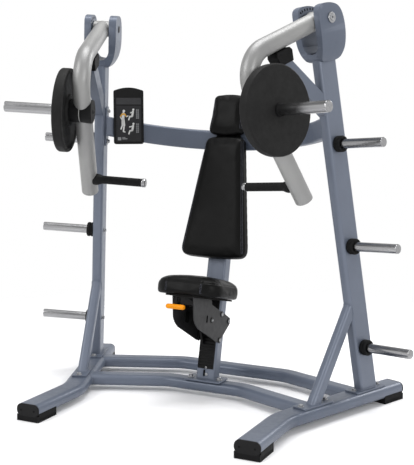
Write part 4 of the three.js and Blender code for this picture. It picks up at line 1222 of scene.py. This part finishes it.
def crease(obj, distance, width, depth):
    """Pulls the surface in along a sewn line. distance gives metres from a point to the line, or None."""
    normals = [v.normal.copy() for v in obj.data.vertices]
    for vertex, normal in zip(obj.data.vertices, normals):
        away = distance(vertex.co)
        if away is not None and away < width * MM:
            vertex.co -= normal * depth * MM * (0.5 + 0.5 * math.cos(math.pi * away / (width * MM)))
    obj.data.update()


def stitches(name, obj, line, body, at, stitch=4.6, gap=2.0, radius=0.75):
    """Thread laid on the cushion along a line of (point, direction to look for the surface)."""
    surface = BVHTree.FromPolygons([v.co.copy() for v in obj.data.vertices],
                                   [list(p.vertices) for p in obj.data.polygons])
    landed = []
    for point, toward in line:
        hit, normal, _, _ = surface.ray_cast(Vector(point) * MM - Vector(toward) * 0.12, Vector(toward), 0.4)
        if hit is not None:
            landed.append(hit / MM + normal * radius * 0.55)
    lengths = [0.0]
    for a, b in zip(landed, landed[1:]):
        lengths.append(lengths[-1] + (b - a).length)

    def at_length(s):
        k = max(i for i, length in enumerate(lengths[:-1]) if length <= s)
        return landed[k].lerp(landed[k + 1], (s - lengths[k]) / max(lengths[k + 1] - lengths[k], 1e-6))

    shapes, s = [], 0.0
    while s + stitch < lengths[-1]:
        a, b = at_length(s), at_length(s + stitch)
        along = (b - a).normalized()
        side = along.orthogonal().normalized()
        other = along.cross(side)
        rings = []
        for t, size in ((0, 0.45), (0.18, 1), (0.82, 1), (1, 0.45)):
            centre = a.lerp(b, t)
            rings.append([centre + (side * math.cos(k * math.pi / 3)
                                    + other * math.sin(k * math.pi / 3)) * radius * size
                          for k in range(6)])
        shapes.append(skin(rings))
        s += stitch + gap
    return piece(name, merged(*shapes), at, body, THREAD, "upholstery", sharp=60)


def finish_cushion(pad, at, body, node):
    pad.matrix_world = at
    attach(pad, body)
    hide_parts(node)


def make_pad(name, size, voxel, inset, steps):
    """A tapered pad with a double-stitched seam along each side, inset from its edge."""
    shape = soft_shape(pad_outline(**size), PAD_THICK - PAD_BACKING, SOFT_EDGE)
    pad = cushion(f"{name}_cushion", shape, voxel, 4, lambda co: co.y > -0.012)
    low, high = size["low"], size["high"]

    def half_at(z):
        t = min(max((z - low) / (high - low), 0), 1)
        return size["low_half"] + (size["high_half"] - size["low_half"]) * t

    def to_line(co):
        x, z = abs(co.x) / MM, co.z / MM
        if co.y > -PAD_THICK * 0.5 * MM or z < low + 26 or z > high - 20:
            return None
        return abs(half_at(z) - inset - x) * MM

    crease(pad, to_line, 5.5, 2.0)
    finish_cushion(pad, BACKREST, "frame", name)
    heights = [low + 26 + (high - low - 48) * i / steps for i in range(steps + 1)]
    for label, sign in (("left", -1), ("right", 1)):
        for row, away in (("outer", 3.4), ("inner", -3.4)):
            line = [((sign * (half_at(z) - inset + away), -PAD_THICK, z), (0, 1, 0)) for z in heights]
            stitches(f"{name}_stitch_{label}_{row}", pad, line, "frame", BACKREST)


def make_backrest():
    make_pad("back_pad", BACK_PAD, 5, 15, 90)
    make_pad("head_pad", HEAD_PAD, 4, 12, 34)


def make_seat():
    length = SEAT_FRONT - SEAT_BACK
    outline = [(x, y - SEAT_BACK - length / 2) for x, y in rounded(2 * SEAT_HALF - 4, length - 4,
                                                                   SEAT_CORNER - 2, 14)]
    tall = SEAT_HIGH - SEAT_LOW
    centre = (0, -SEAT_BACK - length / 2)
    rings = []
    for level, inset in ((0, 14), (3, 6), (10, 1.5), (20, 0), (tall - 30, 0), (tall - 17, 2), (tall - 7, 8),
                         (tall, 20),
                         (tall + 7, 48), (tall + 13, 88), (tall + 17, 130)):
        rings.append([Vector((x * (1 - inset / SEAT_HALF), centre[1]
                              + (y - centre[1]) * (1 - inset / (length / 2)),
                              SEAT_LOW + level)) for x, y in outline])
    pad = cushion("seat_pad_cushion", skin(rings), 5, 5, lambda co: co.z < (SEAT_LOW + 6) * MM)

    def to_seam(co):
        if co.y > -0.25 or co.z > (SEAT_HIGH - 6) * MM:
            return None
        return abs(abs(co.x) - SEAM_X * MM)

    crease(pad, to_seam, 5, 2.2)

    def to_welt(co):
        return abs(co.z - (SEAT_HIGH - 15) * MM) if co.z > (SEAT_HIGH - 30) * MM else None

    crease(pad, to_welt, 5, 1.2)
    finish_cushion(pad, SEAT, "seat_carriage", "seat_pad")
    for label, sign in (("left", -1), ("right", 1)):
        for row, away in (("outer", 3.2), ("inner", -3.2)):
            line = [((sign * (SEAM_X + away), -SEAT_FRONT, SEAT_LOW + 12 + 46 * i / 16), (0, 1, 0))
                    for i in range(17)]
            stitches(f"seat_stitch_{label}_{row}", pad, line, "seat_carriage", SEAT)


# ---------------------------------------------------------------- CAD pieces that stay
def finish_kept_nodes():
    kept = {"pivot_bearing_left": PLASTIC, "pivot_bearing_right": PLASTIC, "backrest_board": BOARD,
            "seat_board": BOARD,
            "rear_glide": PLASTIC, "front_glide": PLASTIC, "release_pivot_pin": CHROME}
    for name, material in kept.items():
        node = frame["nodes"][name]
        node.data.materials.clear()
        node.data.materials.append(material)
        for polygon in node.data.polygons:
            polygon.material_index = 0


# ---------------------------------------------------------------- stage
def area_light(name, place, aim, size, power, colour=(1, 1, 1)):
    data = bpy.data.lights.new(name, "AREA")
    data.shape, data.size, data.energy, data.color = "DISK", size, power, colour
    light = bpy.data.objects.new(name, data)
    bpy.context.scene.collection.objects.link(light)
    light.location = place
    light.rotation_euler = (Vector(aim) - Vector(place)).to_track_quat("-Z", "Y").to_euler()


def make_stage():
    world = bpy.data.worlds.new("studio")
    bpy.context.scene.world = world
    world.use_nodes = True
    nodes, links = world.node_tree.nodes, world.node_tree.links
    background = nodes["Background"]
    coordinates = nodes.new("ShaderNodeTexCoord")
    split = nodes.new("ShaderNodeSeparateXYZ")
    ramp = nodes.new("ShaderNodeValToRGB")
    links.new(coordinates.outputs["Generated"], split.inputs["Vector"])
    links.new(split.outputs["Z"], ramp.inputs["Fac"])
    links.new(ramp.outputs["Color"], background.inputs["Color"])
    stops = [(0.0, 1.0), (0.30, 1.0), (0.46, 0.42), (0.72, 0.34), (0.9, 0.9)]
    elements = ramp.color_ramp.elements
    while len(elements) < len(stops):
        elements.new(0.5)
    for element, (position, value) in zip(elements, stops):
        element.position, element.color = position, (value, value, value, 1)
    background.inputs["Strength"].default_value = 1.0

    rings = [[Vector((*point, 0)) for point in circle(r, 96)] for r in (0.02, 1, 2, 3, 4.5, 6, 8, 12)]
    points, faces = skin(rings)
    mesh = bpy.data.meshes.new("studio_floor")
    mesh.from_pydata([tuple(p) for p in points], [], faces[:-1])
    floor = bpy.data.objects.new("studio_floor", mesh)
    bpy.context.scene.collection.objects.link(floor)
    material = bpy.data.materials.new("pale_floor")
    material.use_nodes = True
    tree_nodes, tree_links = material.node_tree.nodes, material.node_tree.links
    shader = tree_nodes["Principled BSDF"]
    shader.inputs["Base Color"].default_value = (0.93, 0.93, 0.94, 1)
    shader.inputs["Roughness"].default_value = 0.9
    shader.inputs["Specular IOR Level"].default_value = 0.1
    clear = tree_nodes.new("ShaderNodeBsdfTransparent")
    blend = tree_nodes.new("ShaderNodeMixShader")
    place = tree_nodes.new("ShaderNodeTexCoord")
    distance = tree_nodes.new("ShaderNodeVectorMath")
    distance.operation = "LENGTH"
    fade = tree_nodes.new("ShaderNodeMapRange")
    fade.interpolation_type = "SMOOTHERSTEP"
    for socket, value in (("From Min", 1.2), ("From Max", 3.2), ("To Min", 0.0), ("To Max", 1.0)):
        fade.inputs[socket].default_value = value
    tree_links.new(place.outputs["Object"], distance.inputs[0])
    tree_links.new(distance.outputs["Value"], fade.inputs["Value"])
    tree_links.new(fade.outputs["Result"], blend.inputs["Fac"])
    tree_links.new(shader.outputs["BSDF"], blend.inputs[1])
    tree_links.new(clear.outputs["BSDF"], blend.inputs[2])
    tree_links.new(blend.outputs["Shader"], tree_nodes["Material Output"].inputs["Surface"])
    mesh.materials.append(material)

    area_light("key", (-2.6, -4.2, 4.4), (0, 0, 0.8), 3.4, 150)
    area_light("fill", (4.6, -2.4, 2.6), (0.2, 0, 0.9), 2.4, 85)
    area_light("top", (0.2, 0.4, 5.0), (0, 0, 0.6), 3.0, 130)
    area_light("rim", (2.2, 4.2, 3.4), (0, 0, 1.0), 2.0, 90)
    bpy.context.scene.view_settings.view_transform = "Standard"


make_camera()
make_base()
make_posts()
make_heads()
make_stops()
make_pegs()
make_arms()
make_handles()
make_arch()
make_placard()
make_seat_post()
make_carriage()
make_release()
make_backrest()
make_seat()
finish_kept_nodes()
make_stage()
